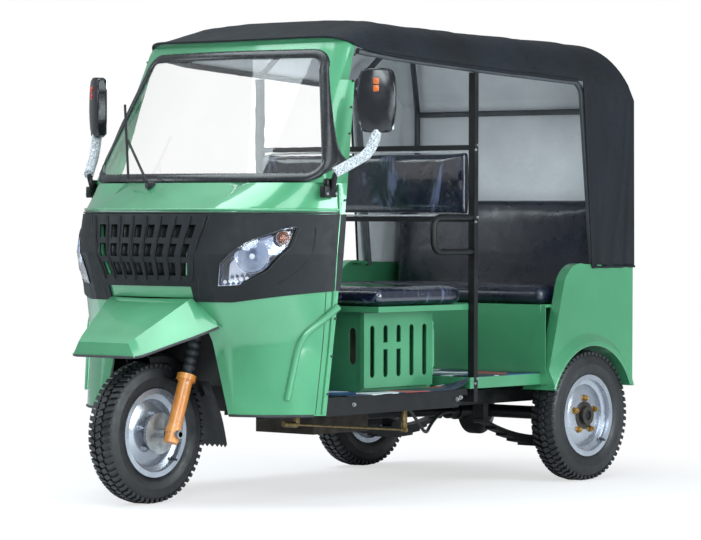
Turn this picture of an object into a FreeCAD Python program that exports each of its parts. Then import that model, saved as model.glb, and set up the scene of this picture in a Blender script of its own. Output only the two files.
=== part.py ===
"""A three-wheeled passenger auto rickshaw: one steered front wheel, a driven rear axle on leaf springs,
a sheet-steel cab, a bench for the driver, a bench for the passengers and a fabric canopy on steel hoops.

Millimetres. X runs across, Y towards the rear and Z up. Places along the vehicle are written from the
front axle; every sub-part is then placed so that the origin lies on the ground under the middle of the
overall box."""

import FreeCAD, Part
import math
import os
import re
import Sketcher
from collections import namedtuple

# The driving dimensions: alias and value, in millimetres or degrees.
SIZES = (
    # The whole vehicle, and the clearances: seated, turning on a shaft, and moving past a neighbour
    ("WheelBase", 1960), ("TrackWidth", 1160), ("RearOverhang", 326), ("HalfWidth", 620), ("SideHalf", 576),
    ("SeatGap", 0.3), ("RunningGap", 0.05), ("MovingGap", 5),
    # Tyres
    ("TyreRadius", 267), ("TyreWidth", 110), ("TreadCount", 22), ("TreadGap", 17), ("TreadDepth", 9),
    ("RibHalf", 14), ("TyreFacets", 42), ("BeadHeel", 2), ("WallHeight", 38), ("ShoulderDrop", 22),
    ("ShoulderInset", 10), ("BlockInset", 5),
    # Rims, hubs and the front axle
    ("RimRadius", 167), ("RimWidth", 92), ("RimWall", 5), ("BeadRadius", 152), ("WellRadius", 132),
    ("WellHalf", 16), ("WellSlope", 6), ("DiscWall", 5), ("DiscOut", 17), ("DiscKnee", 92), ("DiscDish", 8),
    ("DiscLap", 1), ("StudCircle", 70), ("StudRadius", 9), ("StudCount", 5), ("StudReach", 12),
    ("HubReach", 40), ("HubWall", 18), ("HubEnd", 12), ("DrumRadius", 108), ("DrumDepth", 40),
    ("DrumWall", 8), ("AxleRadius", 10), ("AxleEnd", 14), ("AxleNutRadius", 17), ("SpacerRadius", 18),
    ("BrakePlateRadius", 78),
    ("BrakePlateWall", 5), ("FrontHubRadius", 30), ("FrontHubHalf", 58), ("FrontDrumRadius", 72),
    ("FrontDrumCone", 50), ("FrontDrumSetback", 16),
    # Front fork and steering
    ("Rake", 20), ("ForkOffset", 45), ("ForkHalf", 130), ("LowerLegRadius", 27), ("LowerLegLength", 232),
    ("LowerLegFoot", 34), ("LegCapRadius", 37), ("LegCapHeight", 22), ("UpperLegRadius", 16),
    ("GaiterRings", 9), ("GaiterRadius", 25), ("GaiterFold", 6), ("CrownHeight", 500),
    ("CrownThickness", 36), ("CrownDepth", 62), ("CrownEnd", 32), ("CrownSetback", 4), ("StemRadius", 17),
    ("HeadTubeRadius", 30), ("HeadClearance", 104), ("NeckRadius", 22), ("NeckBend", 80),
    ("ClampRadius", 26), ("ClampLow", 24), ("ClampHigh", 18), ("BarHeight", 815), ("BarHalf", 335),
    ("BarRadius", 11), ("BarFlatHalf", 90), ("BarRise", 12), ("BarBend", 60), ("GripLength", 160),
    ("BarSweep", 60),
    # Front mudguard and flap
    ("GuardRadius", 300), ("GuardWall", 3), ("GuardHalf", 62), ("GuardFront", 100), ("GuardRear", 28),
    ("GuardRound", 16), ("GuardShoulder", 12), ("GuardSkirt", 34), ("StrapHalf", 2), ("StrapDrop", 18),
    ("FlapHalf", 80), ("FlapBottom", 205), ("FlapWall", 5), ("FlapLean", 95), ("FlapRise", 46),
    ("FlapTuck", 28),
    # Front cowl and grille
    ("CowlBottom", 340), ("BeltHeight", 1100), ("PanelWall", 10), ("WheelCutHalf", 246),
    ("WheelCutTop", 613), ("WheelCutLow", 322), ("ForkRoomHalf", 205), ("ForkRoomTop", 776),
    ("WheelCutRear", 250), ("FasciaTop", 1088), ("FasciaLow", 761), ("FasciaWall", 8),
    ("FasciaSideStart", 360), ("FasciaSideLow", 807), ("FasciaSideReach", 20), ("GrilleTop", 1082),
    ("GrilleLow", 840), ("GrilleHalfTop", 293), ("GrilleHalfLow", 220), ("GrilleRim", 8), ("ChinDrop", 22),
    ("GrilleColumns", 8), ("GrilleTiers", 3), ("GrilleSlot", 34), ("GrilleBar", 22), ("GrilleMargin", 18),
    ("GrilleHeadroom", 30), ("SlotSpread", 0.94), ("SlotPivot", 120), ("VentShare", 0.86),
    ("VentHeadroom", 16), ("VentRear", 200),
    # Headlamps
    ("LampDepth", 50), ("LampProud", 5), ("LampLow", 815), ("LampHigh", 1050), ("LampRoomGap", 4),
    ("LampRimGap", 2), ("LampRear", 420),
    # Windscreen
    ("ScuttleHeight", 105), ("ScreenHeight", 509), ("HeaderHeight", 51), ("FrameWall", 30),
    ("OpeningRise", 18), ("ScreenHalfLow", 588), ("ScreenHalfHigh", 458), ("OpeningInsetLow", 12),
    ("OpeningInsetHigh", 2), ("SealWidth", 34), ("SealProud", 8), ("GlassWall", 6), ("VisorReach", 26),
    # Nose fender and wheel house
    ("BeakFront", 236), ("BeakRear", 70), ("BeakWall", 7), ("BeakTop", 790), ("BeakOpening", 60),
    ("HouseHalf", 300), ("HouseTop", 832), ("HouseRear", 455), ("HouseKnee", 330), ("HouseShoulder", 20),
    ("HouseFrontLow", 96), ("HouseFrontTop", 40), ("SheetWall", 6),
    # Floors and skirts
    ("FloorTop", 405), ("FloorWall", 25), ("FloorStart", 345), ("StepEdge", 1233), ("RearFloorTop", 447),
    ("RearFloorWall", 44), ("SkirtHeight", 71), ("SkirtWall", 14), ("SkirtInset", 5), ("SkirtDrop", 2),
    ("SkirtEnd", 1189), ("SkirtSlant", 29),
    # Posts, rails and grab handles
    ("PostWidth", 30), ("PostDepth", 24), ("PostPlace", 1258), ("PostHeadroom", 2.5), ("PostBottom", 350),
    ("RailLow", 1068), ("RailHigh", 1351), ("RailSize", 20), ("RailSetback", 2), ("HandleReach", 240),
    ("HandleRadius", 13), ("HandleHigh", 1076), ("HandleLow", 942), ("HandleCorner", 45),
    # Driver's seat
    ("SeatBoxHalf", 430), ("SeatBoxFront", 736), ("SeatBoxRear", 1164), ("TrayTop", 735), ("TrayWall", 22),
    ("BoxSlotInset", 42), ("BoxSlotWidth", 34), ("BoxSlotLow", 510), ("BoxSlotHigh", 651),
    ("BoxFlange", 30), ("TrayHalf", 548), ("TrayFront", 700), ("CushionHeight", 70), ("CushionHalf", 542),
    ("CushionSetback", 10), ("CushionRearGap", 8), ("CushionRound", 24), ("BackPadWall", 50),
    ("BackPadRound", 12),
    # Access door
    ("DoorDepth", 22), ("DoorSheet", 4), ("DoorHem", 12), ("DoorLength", 420), ("DoorMargin", 8),
    ("DoorFoot", 15), ("DoorSlots", 5), ("DoorSlotWidth", 26), ("DoorSlotPitch", 80), ("DoorSlotLow", 459),
    ("DoorSlotHigh", 660), ("BridgeLow", 567), ("BridgeHigh", 593), ("HingeSetback", 12),
    ("HingeRadius", 5), ("KnuckleWall", 4), ("KnuckleInset", 70), ("PinInset", 40), ("HingeTab", 16),
    ("HingeTabHalf", 6), ("HingeLeaf", 4),
    # Dashboard and passenger bench
    ("DashRise", 36), ("DashHeight", 46), ("DashRear", 300), ("DashGap", 1.3), ("BenchTop", 724),
    ("BenchCushion", 72), ("BenchHalf", 570), ("BenchSetback", 12), ("BackrestTop", 1165),
    ("BackrestWall", 76), ("BackrestLean", 26), ("BackrestGap", 40), ("BackrestRound", 20),
    # Rear quarters, rear panel, bumper and lamps
    ("QuarterWall", 12), ("QuarterTop", 886), ("QuarterLow", 380), ("QuarterFront", 1695),
    ("QuarterReturn", 45), ("QuarterRear", 8), ("QuarterFall", 14), ("ArchRadius", 288), ("ArchSetback", 8),
    ("FlareWidth", 46), ("FlareProud", 30), ("FlareFall", 14), ("TubGap", 33), ("BumperHeight", 60),
    ("BumperInset", 30), ("LampWidth", 95), ("LampHeight", 190), ("LampInset", 40), ("TailLampLow", 600),
    ("MountHole", 5.5), ("MountSpread", 500),
    # Canopy and its frame
    ("CanopyWall", 8), ("RoofReach", 120), ("CanopyRise", 77), ("CanopyDrop", 178), ("CanopySag", 35),
    ("CanopyShoulder", 430), ("CanopyJoin", 1960), ("CurtainFront", 1928), ("CurtainLow", 1985),
    ("BackSlopeTop", 2110), ("BackSlopeLow", 1560), ("BackSlopeDrop", 26), ("HoopRadius", 12),
    ("HoopInset", 6), ("RailDrop", 4), ("UprightHalf", 519),
    # Chassis, engine, rear axle, springs and exhaust
    ("RailHalf", 398), ("RailWidth", 40), ("RailHeight", 55), ("RailStart", 190), ("CrossSetback", 8),
    ("EngineHalf", 150), ("EngineFront", 785), ("EngineRear", 1120), ("EngineTop", 640), ("EngineLow", 225),
    ("EngineArm", 30), ("SpindleRadius", 20), ("AxleTubeRadius", 27), ("BackPlateWall", 6),
    ("BackPlateInset", 4), ("BanjoRadius", 100), ("BanjoPlace", 47), ("BanjoHalf", 58), ("BanjoNeck", 45),
    ("BanjoFlat", 22), ("PinionRadius", 40), ("PinionReach", 150), ("PinionLap", 60), ("PinionRise", 6),
    ("ShaftRadius", 24), ("ShaftJoint", 34), ("ShaftYoke", 50), ("GearboxHeight", 285), ("SpringHalf", 400),
    ("SpringWidth", 55), ("LeafWall", 9), ("LeafCount", 5), ("LeafStep", 0.17), ("SpringFront", 440),
    ("SpringRear", 290), ("SpringSag", 90), ("SpringLow", 133), ("EyeRadius", 17), ("EyeRise", 4),
    ("ShackleHalf", 16), ("SpringPadHalf", 45), ("SilencerRadius", 55), ("SilencerLength", 380),
    ("SilencerGap", 30), ("SilencerSetback", 28), ("SilencerHeight", 250), ("PipeRadius", 19),
    ("PipePlace", 1060), ("PipeHeight", 300), ("HangerWall", 6), ("HangerWidth", 30),
    # Mirrors and wiper
    ("MirrorPlace", 724), ("MirrorBack", 472), ("MirrorWidth", 145), ("MirrorHeight", 240),
    ("MirrorDepth", 48), ("MirrorRise", 186), ("MirrorYaw", 32), ("MirrorRound", 22), ("ArmRadius", 11),
    ("ArmBase", 20), ("WiperRadius", 5), ("BladeHalf", 150), ("BladeWidth", 6), ("BladeDepth", 4),
    ("BladeYaw", 38), ("BladeTilt", 18),
)

doc = FreeCAD.newDocument("AutoRickshaw")
dims = doc.addObject("Spreadsheet::Sheet", "Dims")
for row, (alias, value) in enumerate(SIZES, 1):
    dims.set(f"A{row}", alias)
    dims.set(f"B{row}", str(value))
    dims.setAlias(f"B{row}", alias)
doc.recompute()

V = FreeCAD.Vector
NODES = []
PAST = 1
ORIGIN_SHIFT = "(TyreRadius - WheelBase - RearOverhang) / 2"


def size(formula):
    """The value of a formula written with the sheet's names."""
    return float(dims.evalExpression(formula))


def bind(obj, **sizes):
    """Ties an object's sizes to formulas of the sheet's names; two underscores stand for a dot."""
    for name, formula in sizes.items():
        named = re.sub(r"\b[A-Z][A-Za-z]+", lambda word: "Dims." + word.group(0), formula)
        obj.setExpression(name.replace("__", "."), named)
    return obj


def placed(obj, x, y, z):
    return bind(obj, Placement__Base__x=x, Placement__Base__y=f"{y} + {ORIGIN_SHIFT}", Placement__Base__z=z)


def raked(obj, across, along, behind="0"):
    """Stands an upright piece on the fork, whose origin is the front axle and whose axis leans back."""
    obj.Placement = FreeCAD.Placement(V(), FreeCAD.Rotation(V(-1, 0, 0), dims.Rake))
    bind(obj, Placement__Rotation__Angle="Rake")
    return placed(obj, across, f"({along}) * sin(Rake) + ({behind}) * cos(Rake)",
                  f"TyreRadius + ({along}) * cos(Rake) - ({behind}) * sin(Rake)")


def sub_part(obj):
    """Keeps a finished object as a piece of the vehicle; its label names its file."""
    obj.Label = obj.Name
    NODES.append(obj)
    return obj


def formed(name, shape):
    """An object whose shape is worked out in code, in places from the front axle."""
    solids = shape.Solids
    obj = doc.addObject("Part::Feature", name)
    obj.Shape = solids[0] if len(solids) == 1 else Part.makeCompound(solids)
    obj.Placement = FreeCAD.Placement(V(0, size(ORIGIN_SHIFT), 0), FreeCAD.Rotation()) * obj.Placement
    return obj


# Bound pieces: boxes, round bars, and what is fused or cut from them
def block(name, x, y, z):
    """A box between two places along each axis."""
    obj = doc.addObject("Part::Box", name)
    bind(obj, Length=f"{x[1]} - ({x[0]})", Width=f"{y[1]} - ({y[0]})", Height=f"{z[1]} - ({z[0]})")
    return placed(obj, x[0], y[0], z[0])


BAR_TURNS = {"x": FreeCAD.Rotation(V(0, 1, 0), 90), "y": FreeCAD.Rotation(V(-1, 0, 0), 90),
             "z": FreeCAD.Rotation()}


def bar(name, radius, length, way="z"):
    """A round bar along an axis."""
    obj = doc.addObject("Part::Cylinder", name)
    obj.Placement = FreeCAD.Placement(V(), BAR_TURNS[way])
    return bind(obj, Radius=radius, Height=length)


def joined(name, *pieces):
    obj = doc.addObject("Part::MultiFuse", name)
    obj.Shapes = list(pieces)
    obj.Refine = True
    return obj


def less(name, base, *rooms):
    """The base with every room cut out of it."""
    obj = doc.addObject("Part::Cut", name)
    obj.Base = base
    obj.Tool = rooms[0] if len(rooms) == 1 else joined(name + "_rooms", *rooms)
    return obj


def mirrored(obj):
    """The same piece on the other side of the vehicle."""
    other = doc.addObject("Part::Mirroring", obj.Name + "_mirrored")
    other.Source = obj
    other.Normal = V(1, 0, 0)
    return other


def pair(name, obj):
    both_sides = doc.addObject("Part::Compound", name)
    both_sides.Links = [obj, mirrored(obj)]
    return both_sides


# Bodies: a sketch on one of the body's planes, padded or turned, and rounded or patterned
def origin_feature(body, role):
    return next(feature for feature in body.Origin.OriginFeatures if feature.Role == role)


def outline(body, name, plane, corners, offset="0"):
    """A closed outline of straight sides; each corner is a pair of formulas."""
    sketch = body.newObject("Sketcher::SketchObject", name)
    sketch.AttachmentSupport = (origin_feature(body, plane), [""])
    sketch.MapMode = "FlatFace"
    bind(sketch, AttachmentOffset__Base__z=offset)
    points = [V(size(a), size(b), 0) for a, b in corners]
    for start, end in zip(points, points[1:] + points[:1]):
        sketch.addGeometry(Part.LineSegment(start, end))
    for number, corner in enumerate(corners):
        sketch.addConstraint(Sketcher.Constraint("Coincident", number, 2, (number + 1) % len(corners), 1))
        for axis, other_axis, formula in (("X", -2, corner[0]), ("Y", -1, corner[1])):
            if formula == "0":
                sketch.addConstraint(Sketcher.Constraint("PointOnObject", number, 1, other_axis))
                continue
            index = sketch.addConstraint(
                Sketcher.Constraint("Distance" + axis, -1, 1, number, 1, size(formula)))
            sketch.renameConstraint(index, f"corner{axis}{number}")
            bind(sketch, **{f"Constraints__corner{axis}{number}": formula})
    return sketch


def both_ways(corners):
    """A profile that is the same on both sides of the middle, from the corners of one side."""
    return corners + [(f"-({along})", out) for along, out in corners[::-1]]


def turn_profile(body, name, plane, corners, axis, angle="360"):
    turning = body.newObject("PartDesign::Revolution", name)
    turning.Profile = (outline(body, name + "_profile", plane, corners), [""])
    turning.ReferenceAxis = (origin_feature(body, axis), [""])
    bind(turning, Angle=angle)
    body.Tip = turning
    return turning


def turned(name, corners, plane="XY_Plane", axis="X_Axis", angle="360"):
    """A body turned from a profile about an axis through its origin."""
    body = doc.addObject("PartDesign::Body", name)
    turn_profile(body, name + "_turning", plane, corners, axis, angle)
    return body


def rounded(body, base, radius, edges):
    rounding = body.newObject("PartDesign::Fillet", body.Name + "_rounding")
    rounding.Base = (base, edges)
    bind(rounding, Radius=radius)
    body.Tip = rounding
    return body


def padded(name, corners, start, end, offset_y=ORIGIN_SHIFT):
    """A body whose side outline, of (place, height) corners, is padded across from start to end."""
    body = doc.addObject("PartDesign::Body", name)
    pad = body.newObject("PartDesign::Pad", name + "_pad")
    pad.Profile = (outline(body, name + "_outline", "YZ_Plane", corners, start), [""])
    bind(pad, Length=f"{end} - ({start})")
    body.Tip = pad
    bind(body, Placement__Base__y=offset_y)
    return body


def cushion(name, x, y, z, radius, along_x_only=False):
    """A block of foam with its edges rounded over."""
    body = doc.addObject("PartDesign::Body", name)
    foam = body.newObject("PartDesign::AdditiveBox", name + "_foam")
    bind(foam, Length=f"{x[1]} - ({x[0]})", Width=f"{y[1]} - ({y[0]})", Height=f"{z[1]} - ({z[0]})")
    placed(body, x[0], y[0], z[0])
    doc.recompute()
    edges = [f"Edge{number}" for number, edge in enumerate(foam.Shape.Edges, 1)
             if not along_x_only or abs(edge.tangentAt(edge.FirstParameter).x) > 0.9]
    return rounded(body, foam, radius, edges)


# Shapes worked out in code, for what is lofted, swept or bent
def box(x0, x1, y0, y1, z0, z1):
    return Part.makeBox(x1 - x0, y1 - y0, z1 - z0, V(x0, y0, z0))


def rod(radius, start, end):
    way = end - start
    return Part.makeCylinder(radius, way.Length, start, way)


def line(a, b):
    return Part.LineSegment(a, b).toShape()


def arc(a, b, c):
    return Part.Arc(a, b, c).toShape()


def prism(points, way):
    """A polygon swept straight along the vector way."""
    return Part.Face(Part.makePolygon(points + points[:1])).extrude(way)


def prism_xz(points, y0, y1):
    return prism([V(x, y0, z) for x, z in points], V(0, y1 - y0, 0))


def prism_yz(points, x0, x1):
    return prism([V(x0, y, z) for y, z in points], V(x1 - x0, 0, 0))


def flipped(shape):
    """The same shape on the other side of the vehicle."""
    return shape.mirror(V(0, 0, 0), V(1, 0, 0))


def both(shape):
    return Part.makeCompound([shape, flipped(shape)])


def lathe(points, centre):
    """A polygon of (along, out) pairs turned about the line across the vehicle through centre."""
    ring = [centre + V(along, 0, out) for along, out in points]
    return Part.Face(Part.makePolygon(ring + ring[:1])).revolve(centre, V(1, 0, 0), 360)


def tube_path(points, radii):
    """Straight runs joined by tangent arcs; radii holds one bend for each inner point."""
    edges = []
    start = points[0]
    for i, bend in enumerate(radii, 1):
        a = (points[i - 1] - points[i]).normalize()
        b = (points[i + 1] - points[i]).normalize()
        half = a.getAngle(b) / 2
        reach = bend / math.tan(half)
        first = points[i] + a * reach
        last = points[i] + b * reach
        middle = (a + b).normalize()
        top = points[i] + middle * (bend / math.sin(half) - bend)
        if (first - start).Length > 0.01:
            edges.append(line(start, first))
        edges.append(arc(first, top, last))
        start = last
    edges.append(line(start, points[-1]))
    return Part.Wire(edges)


def tube(points, radii, radius):
    """A round bar along such a path."""
    path = tube_path(points, radii)
    ring = Part.Wire(Part.makeCircle(radius, points[0], points[1] - points[0]))
    return path.makePipeShell([ring], True, False)


# The plan of the cab's front, one row for each height: the nose is an arc across half_nose, a corner arc
# leads from it to the rear flange. nose_y, side_y and flange_y are places from the front axle.
Plan = namedtuple("Plan", "height half_nose nose_y side_y corner_x corner_y flange_x flange_y")
W = dims.HalfWidth
belt = dims.BeltHeight
screen_low = belt + dims.ScuttleHeight
screen_high = screen_low + dims.ScreenHeight
header_high = screen_high + dims.HeaderHeight
COWL = (
    Plan(dims.CowlBottom, 350, 88, 100, 512, 200, W - 20, 331),
    Plan(dims.WheelCutTop, 320, 83, 101, 522, 230, W - 10, 362),
    Plan(820, 300, 8, 28, 520, 203, W - 3, 384),
    Plan(940, 300, -27, -9, 520, 178, W - 1, 399),
    Plan(belt, 300, 8, 26, 520, 207, W, 415),
    Plan(screen_low, 300, 160, 205, 545, 297, W - 16, 448),
)
SCREEN = (
    Plan(screen_low, dims.ScreenHalfLow, 180, 328, 604, 390, W - 16, 448),
    Plan(screen_high, dims.ScreenHalfHigh, 441, 525, 506, 548, W - 86, 584),
    Plan(header_high, dims.ScreenHalfHigh - 20, 466, 545, 484, 566, W - 100, 602),
)


def between(rows, height):
    """The plan at a height between two rows of a table."""
    for low, high in zip(rows, rows[1:]):
        if low.height <= height <= high.height:
            share = (height - low.height) / (high.height - low.height)
            return Plan(*(a + (b - a) * share for a, b in zip(low, high)))
    raise ValueError(height)


def rows_between(rows, low, high):
    inner = [row for row in rows if low < row.height < high]
    return [between(rows, low)] + inner + [between(rows, high)]


def front_edges(row, out):
    """The front's outline at one height, grown outwards by out, from the left flange to the right one."""
    slant = out * math.sqrt(0.5)
    side = V(row.half_nose, row.side_y - out, row.height)
    corner = V(row.corner_x + slant, row.corner_y - slant, row.height)
    flange = V(row.flange_x + out, row.flange_y, row.height)
    nose = V(0, row.nose_y - out, row.height)
    other = [V(-p.x, p.y, p.z) for p in (side, corner, flange)]
    edges = [arc(other[2], other[1], other[0]), arc(other[0], nose, side), arc(side, corner, flange)]
    return edges, other[2], flange


def front_shell(rows, out, wall):
    """A sheet of the cab's front: its outer face is out beyond the plan and it is wall thick."""
    rings = []
    for row in rows:
        outer, left, right = front_edges(row, out)
        inner, inner_left, inner_right = front_edges(row, out - wall)
        rings.append(Part.Wire(outer + [line(right, inner_right)] + inner[::-1] + [line(inner_left, left)]))
    return Part.makeLoft(rings, True, True)


def cab_core(rows, inset, rear):
    """The room behind the front's inner face, back to the place rear."""
    rings = []
    for row in rows:
        edges, left, right = front_edges(row, -inset)
        back = [V(right.x, rear, row.height), V(left.x, rear, row.height)]
        rings.append(Part.Wire(edges + [line(right, back[0]), line(back[0], back[1]), line(back[1], left)]))
    return Part.makeLoft(rings, True, True)


# Front cowl: one pressed sheet from the wheel opening to the windscreen, open for the wheel, the grille
# and the lamps. The lamps' outline is (across, height) round the lens from its inner lower corner.
gap = dims.SeatGap
ahead = -1.5 * dims.TyreRadius
behind_front = dims.TrayFront
opening_low = dims.CowlBottom - PAST
wheel_opening = prism_xz([(-dims.WheelCutLow, opening_low), (-dims.WheelCutHalf, dims.WheelCutTop),
                          (-dims.ForkRoomHalf, dims.ForkRoomTop), (dims.ForkRoomHalf, dims.ForkRoomTop),
                          (dims.WheelCutHalf, dims.WheelCutTop), (dims.WheelCutLow, opening_low)],
                         ahead, dims.WheelCutRear)
LAMP = ((332, 822), (398, 826), (478, 880), (536, 965), (548, 1042), (516, 1030), (430, 985), (352, 905))


def lamp_prism(grow):
    """The lamp's outline, grown outwards, through the front."""
    middle = V(sum(x for x, z in LAMP), 0, sum(z for x, z in LAMP)) / len(LAMP)
    points = []
    for x, z in LAMP:
        corner = V(x, 0, z)
        grown = corner + (corner - middle).normalize() * grow
        points.append((grown.x, grown.z))
    return prism_xz(points, ahead, dims.LampRear)


vent_low = dims.GrilleLow + dims.GrilleRim
vent_high = dims.GrilleTop - dims.VentHeadroom
vent_half_low = dims.VentShare * dims.GrilleHalfLow
vent_half_top = dims.VentShare * dims.GrilleHalfTop
vent_room = prism_xz([(-vent_half_top, vent_high), (vent_half_top, vent_high), (vent_half_low, vent_low),
                      (-vent_half_low, vent_low)], ahead, dims.VentRear)
lamp_rooms = both(lamp_prism(dims.LampRoomGap))
cowl = front_shell(COWL, 0, dims.PanelWall).cut([wheel_opening, lamp_rooms, vent_room])
sub_part(formed("front_cowl", cowl))

# Canopy: one row for each bow, and the sheet between them. The edge falls gently towards the rear.
Bow = namedtuple("Bow", "place edge_half edge_height shoulder_half shoulder_height top")
top = header_high + dims.CanopyRise
edge = top - dims.CanopyDrop
edge_rear = edge - dims.CanopySag
BOWS = (
    Bow(425, W - 91, edge + 62, dims.CanopyShoulder - 30, top - 100, top - 92),
    Bow(588, W - 91, edge + 62, dims.CanopyShoulder - 15, top - 66, top - 48),
    Bow(680, W - 78, edge + 42, dims.CanopyShoulder - 10, top - 42, top - 25),
    Bow(791, W - 58, edge + 27, dims.CanopyShoulder - 20, top - 12, top),
    Bow(dims.PostPlace, dims.SideHalf + 3, edge, dims.CanopyShoulder - 10, top - 30, top - 10),
    Bow(dims.CanopyJoin, W, edge_rear, dims.CanopyShoulder, top - 46, top - 24),
    Bow(dims.BackSlopeTop + 60, W, edge_rear - 6, dims.CanopyShoulder, top - 50, top - 30),
)


def bow_edges(bow, inset):
    """The sheet's outline across one bow, inset towards the cab."""
    ends = [V(s * (bow.edge_half - inset), bow.place, bow.edge_height) for s in (-1, 1)]
    shoulders = [V(s * bow.shoulder_half, bow.place, bow.shoulder_height - inset) for s in (-1, 1)]
    swell = (bow.shoulder_height - bow.edge_height) * 0.2 - inset * 0.7
    bulge = [V(s * ((bow.edge_half + bow.shoulder_half) / 2 + swell), bow.place,
               (bow.edge_height + bow.shoulder_height) / 2 + swell) for s in (-1, 1)]
    crown = V(0, bow.place, bow.top - inset)
    edges = [arc(ends[0], bulge[0], shoulders[0]), arc(shoulders[0], crown, shoulders[1]),
             arc(shoulders[1], bulge[1], ends[1])]
    return edges, ends


def canopy_shell(bows, wall):
    rings = []
    for bow in bows:
        outer, ends = bow_edges(bow, 0)
        inner, inner_ends = bow_edges(bow, wall)
        sides = [line(ends[1], inner_ends[1])] + inner[::-1] + [line(inner_ends[0], ends[0])]
        rings.append(Part.Wire(outer + sides))
    return Part.makeLoft(rings, True, True)


def canopy_body(bows, inset, depth):
    """What lies under the sheet, down to the height depth."""
    rings = []
    for bow in bows:
        edges, ends = bow_edges(bow, inset)
        low = [V(ends[1].x, ends[1].y, depth), V(ends[0].x, ends[0].y, depth)]
        rings.append(Part.Wire(edges + [line(ends[1], low[0]), line(low[0], low[1]), line(low[1], ends[0])]))
    return Part.makeLoft(rings, True, True)


# Windscreen frame: both front pillars and the header over the glass in one pressing
open_low = screen_low + dims.OpeningRise
open_high = screen_high - dims.OpeningRise
roof_zone = (screen_high - dims.RoofReach, top + dims.RoofReach / 2)


def screen_prism(grow):
    """The opening for the glass, grown outwards, through the front."""
    low = dims.ScreenHalfLow - dims.OpeningInsetLow + grow
    high = dims.ScreenHalfHigh - dims.OpeningInsetHigh + grow
    return prism_xz([(-low, open_low - grow), (low, open_low - grow), (high, open_high + grow),
                     (-high, open_high + grow)], ahead, behind_front)


frame_rows = [row._replace(height=row.height + (gap if row is SCREEN[0] else 0)) for row in SCREEN]
above = box(-W, W, BOWS[0].place, BOWS[3].place + dims.RoofReach, *roof_zone)
above = above.cut(canopy_body(BOWS[:6], dims.CanopyWall + gap, roof_zone[0] - PAST))
frame_shape = front_shell(frame_rows, 0, dims.FrameWall).cut([screen_prism(0), above])
sub_part(formed("windscreen_frame", frame_shape))
glass_rows = rows_between(frame_rows, open_low - 2, open_high + 2)
sub_part(formed("windscreen", front_shell(glass_rows, 0, dims.GlassWall).common(screen_prism(-gap))))
seal = front_shell(frame_rows, gap + dims.SealProud, dims.SealProud)
seal = seal.common(screen_prism(dims.SealWidth / 2).cut(screen_prism(-dims.SealWidth / 2)))
sub_part(formed("windscreen_seal", seal))

# Front fascia: a moulded grille panel over the cowl, with slanted slots in tiers and a room for each lamp
fascia_rows = rows_between(COWL, dims.FasciaLow, dims.FasciaTop)
fascia = front_shell(fascia_rows, gap + dims.FasciaWall, dims.FasciaWall)
fascia_foot = dims.FasciaLow - PAST
chin_half = dims.GrilleHalfLow - dims.GrilleRim
chin_high = dims.GrilleLow - dims.ChinDrop
chin_trim = prism_xz([(chin_half, fascia_foot), (chin_half, chin_high), (-chin_half, chin_high),
                      (-chin_half, fascia_foot)], ahead, behind_front)
side_edge = W + dims.FasciaSideReach
side_trim = prism_xz([(dims.FasciaSideStart, fascia_foot), (side_edge, fascia_foot),
                      (side_edge, dims.FasciaSideLow)], ahead, behind_front)
column_step = (dims.GrilleHalfTop + dims.GrilleHalfLow) / dims.GrilleColumns * dims.SlotSpread
tier_step = (dims.GrilleTop - dims.GrilleLow - dims.GrilleHeadroom) / dims.GrilleTiers
lean = (dims.GrilleHalfTop - dims.GrilleHalfLow) / (dims.GrilleTop - dims.GrilleLow)
slots = []
for column in range(int(dims.GrilleColumns)):
    place = (column - (dims.GrilleColumns - 1) / 2) * column_step
    slant = place / dims.GrilleHalfTop * lean
    for level in range(int(dims.GrilleTiers)):
        low = dims.GrilleLow + dims.GrilleMargin + level * tier_step
        high = low + tier_step - dims.GrilleBar
        corners = []
        for height, side in ((low, -1), (low, 1), (high, 1), (high, -1)):
            slot_middle = place + slant * (height - dims.GrilleLow - dims.SlotPivot)
            corners.append((slot_middle + side * dims.GrilleSlot / 2, height))
        slots.append(prism_xz(corners, ahead, dims.VentRear))
lamp_openings = both(lamp_prism(dims.LampRimGap))
fascia = fascia.cut([chin_trim, side_trim, flipped(side_trim), lamp_openings] + slots)
sub_part(formed("front_fascia", fascia))

# Headlamps: a glazed housing that follows the front's curve, one in each opening
lamp_rows = rows_between(COWL, dims.LampLow, dims.LampHigh)
lamps = front_shell(lamp_rows, dims.FasciaWall + dims.LampProud, dims.LampDepth)
sub_part(formed("headlamps", lamps.common(both(lamp_prism(0)))))

# Nose fender: a hollow hood over the front wheel, fixed to the cowl
Rib = namedtuple("Rib", "place ridge_half ridge_height lip_half lip_height")
RIBS = (Rib(-dims.BeakFront, 128, 612, 158, 560), Rib(-dims.BeakFront + 30, 140, 634, 176, 566),
        Rib(0, 205, 765, 275, 640), Rib(dims.BeakRear, 215, dims.BeakTop, 300, 668))


def beak(inset):
    """The hood's outer form, or its hollow where inset is the wall: open below and behind."""
    rings = []
    for rib in RIBS:
        place = rib.place
        low = rib.lip_height
        if inset:
            place += inset if rib is RIBS[0] else PAST if rib is RIBS[-1] else 0
            low -= dims.BeakOpening
        points = [(-rib.lip_half + inset, low), (-rib.ridge_half + inset, rib.ridge_height - inset),
                  (rib.ridge_half - inset, rib.ridge_height - inset), (rib.lip_half - inset, low)]
        rings.append(Part.makePolygon([V(x, place, z) for x, z in points + points[:1]]))
    return Part.makeLoft(rings, True, True)


fascia_step = dims.FasciaWall + 3 * gap
fascia_room = front_shell(rows_between(COWL, dims.FasciaLow - gap, dims.FasciaTop), fascia_step, fascia_step)
cowl_room = cab_core(rows_between(COWL, dims.FloorTop, dims.GrilleLow), -gap, behind_front)
sub_part(formed("nose_fender", beak(0).cut(beak(dims.BeakWall)).cut([cowl_room, fascia_room])))

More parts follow.
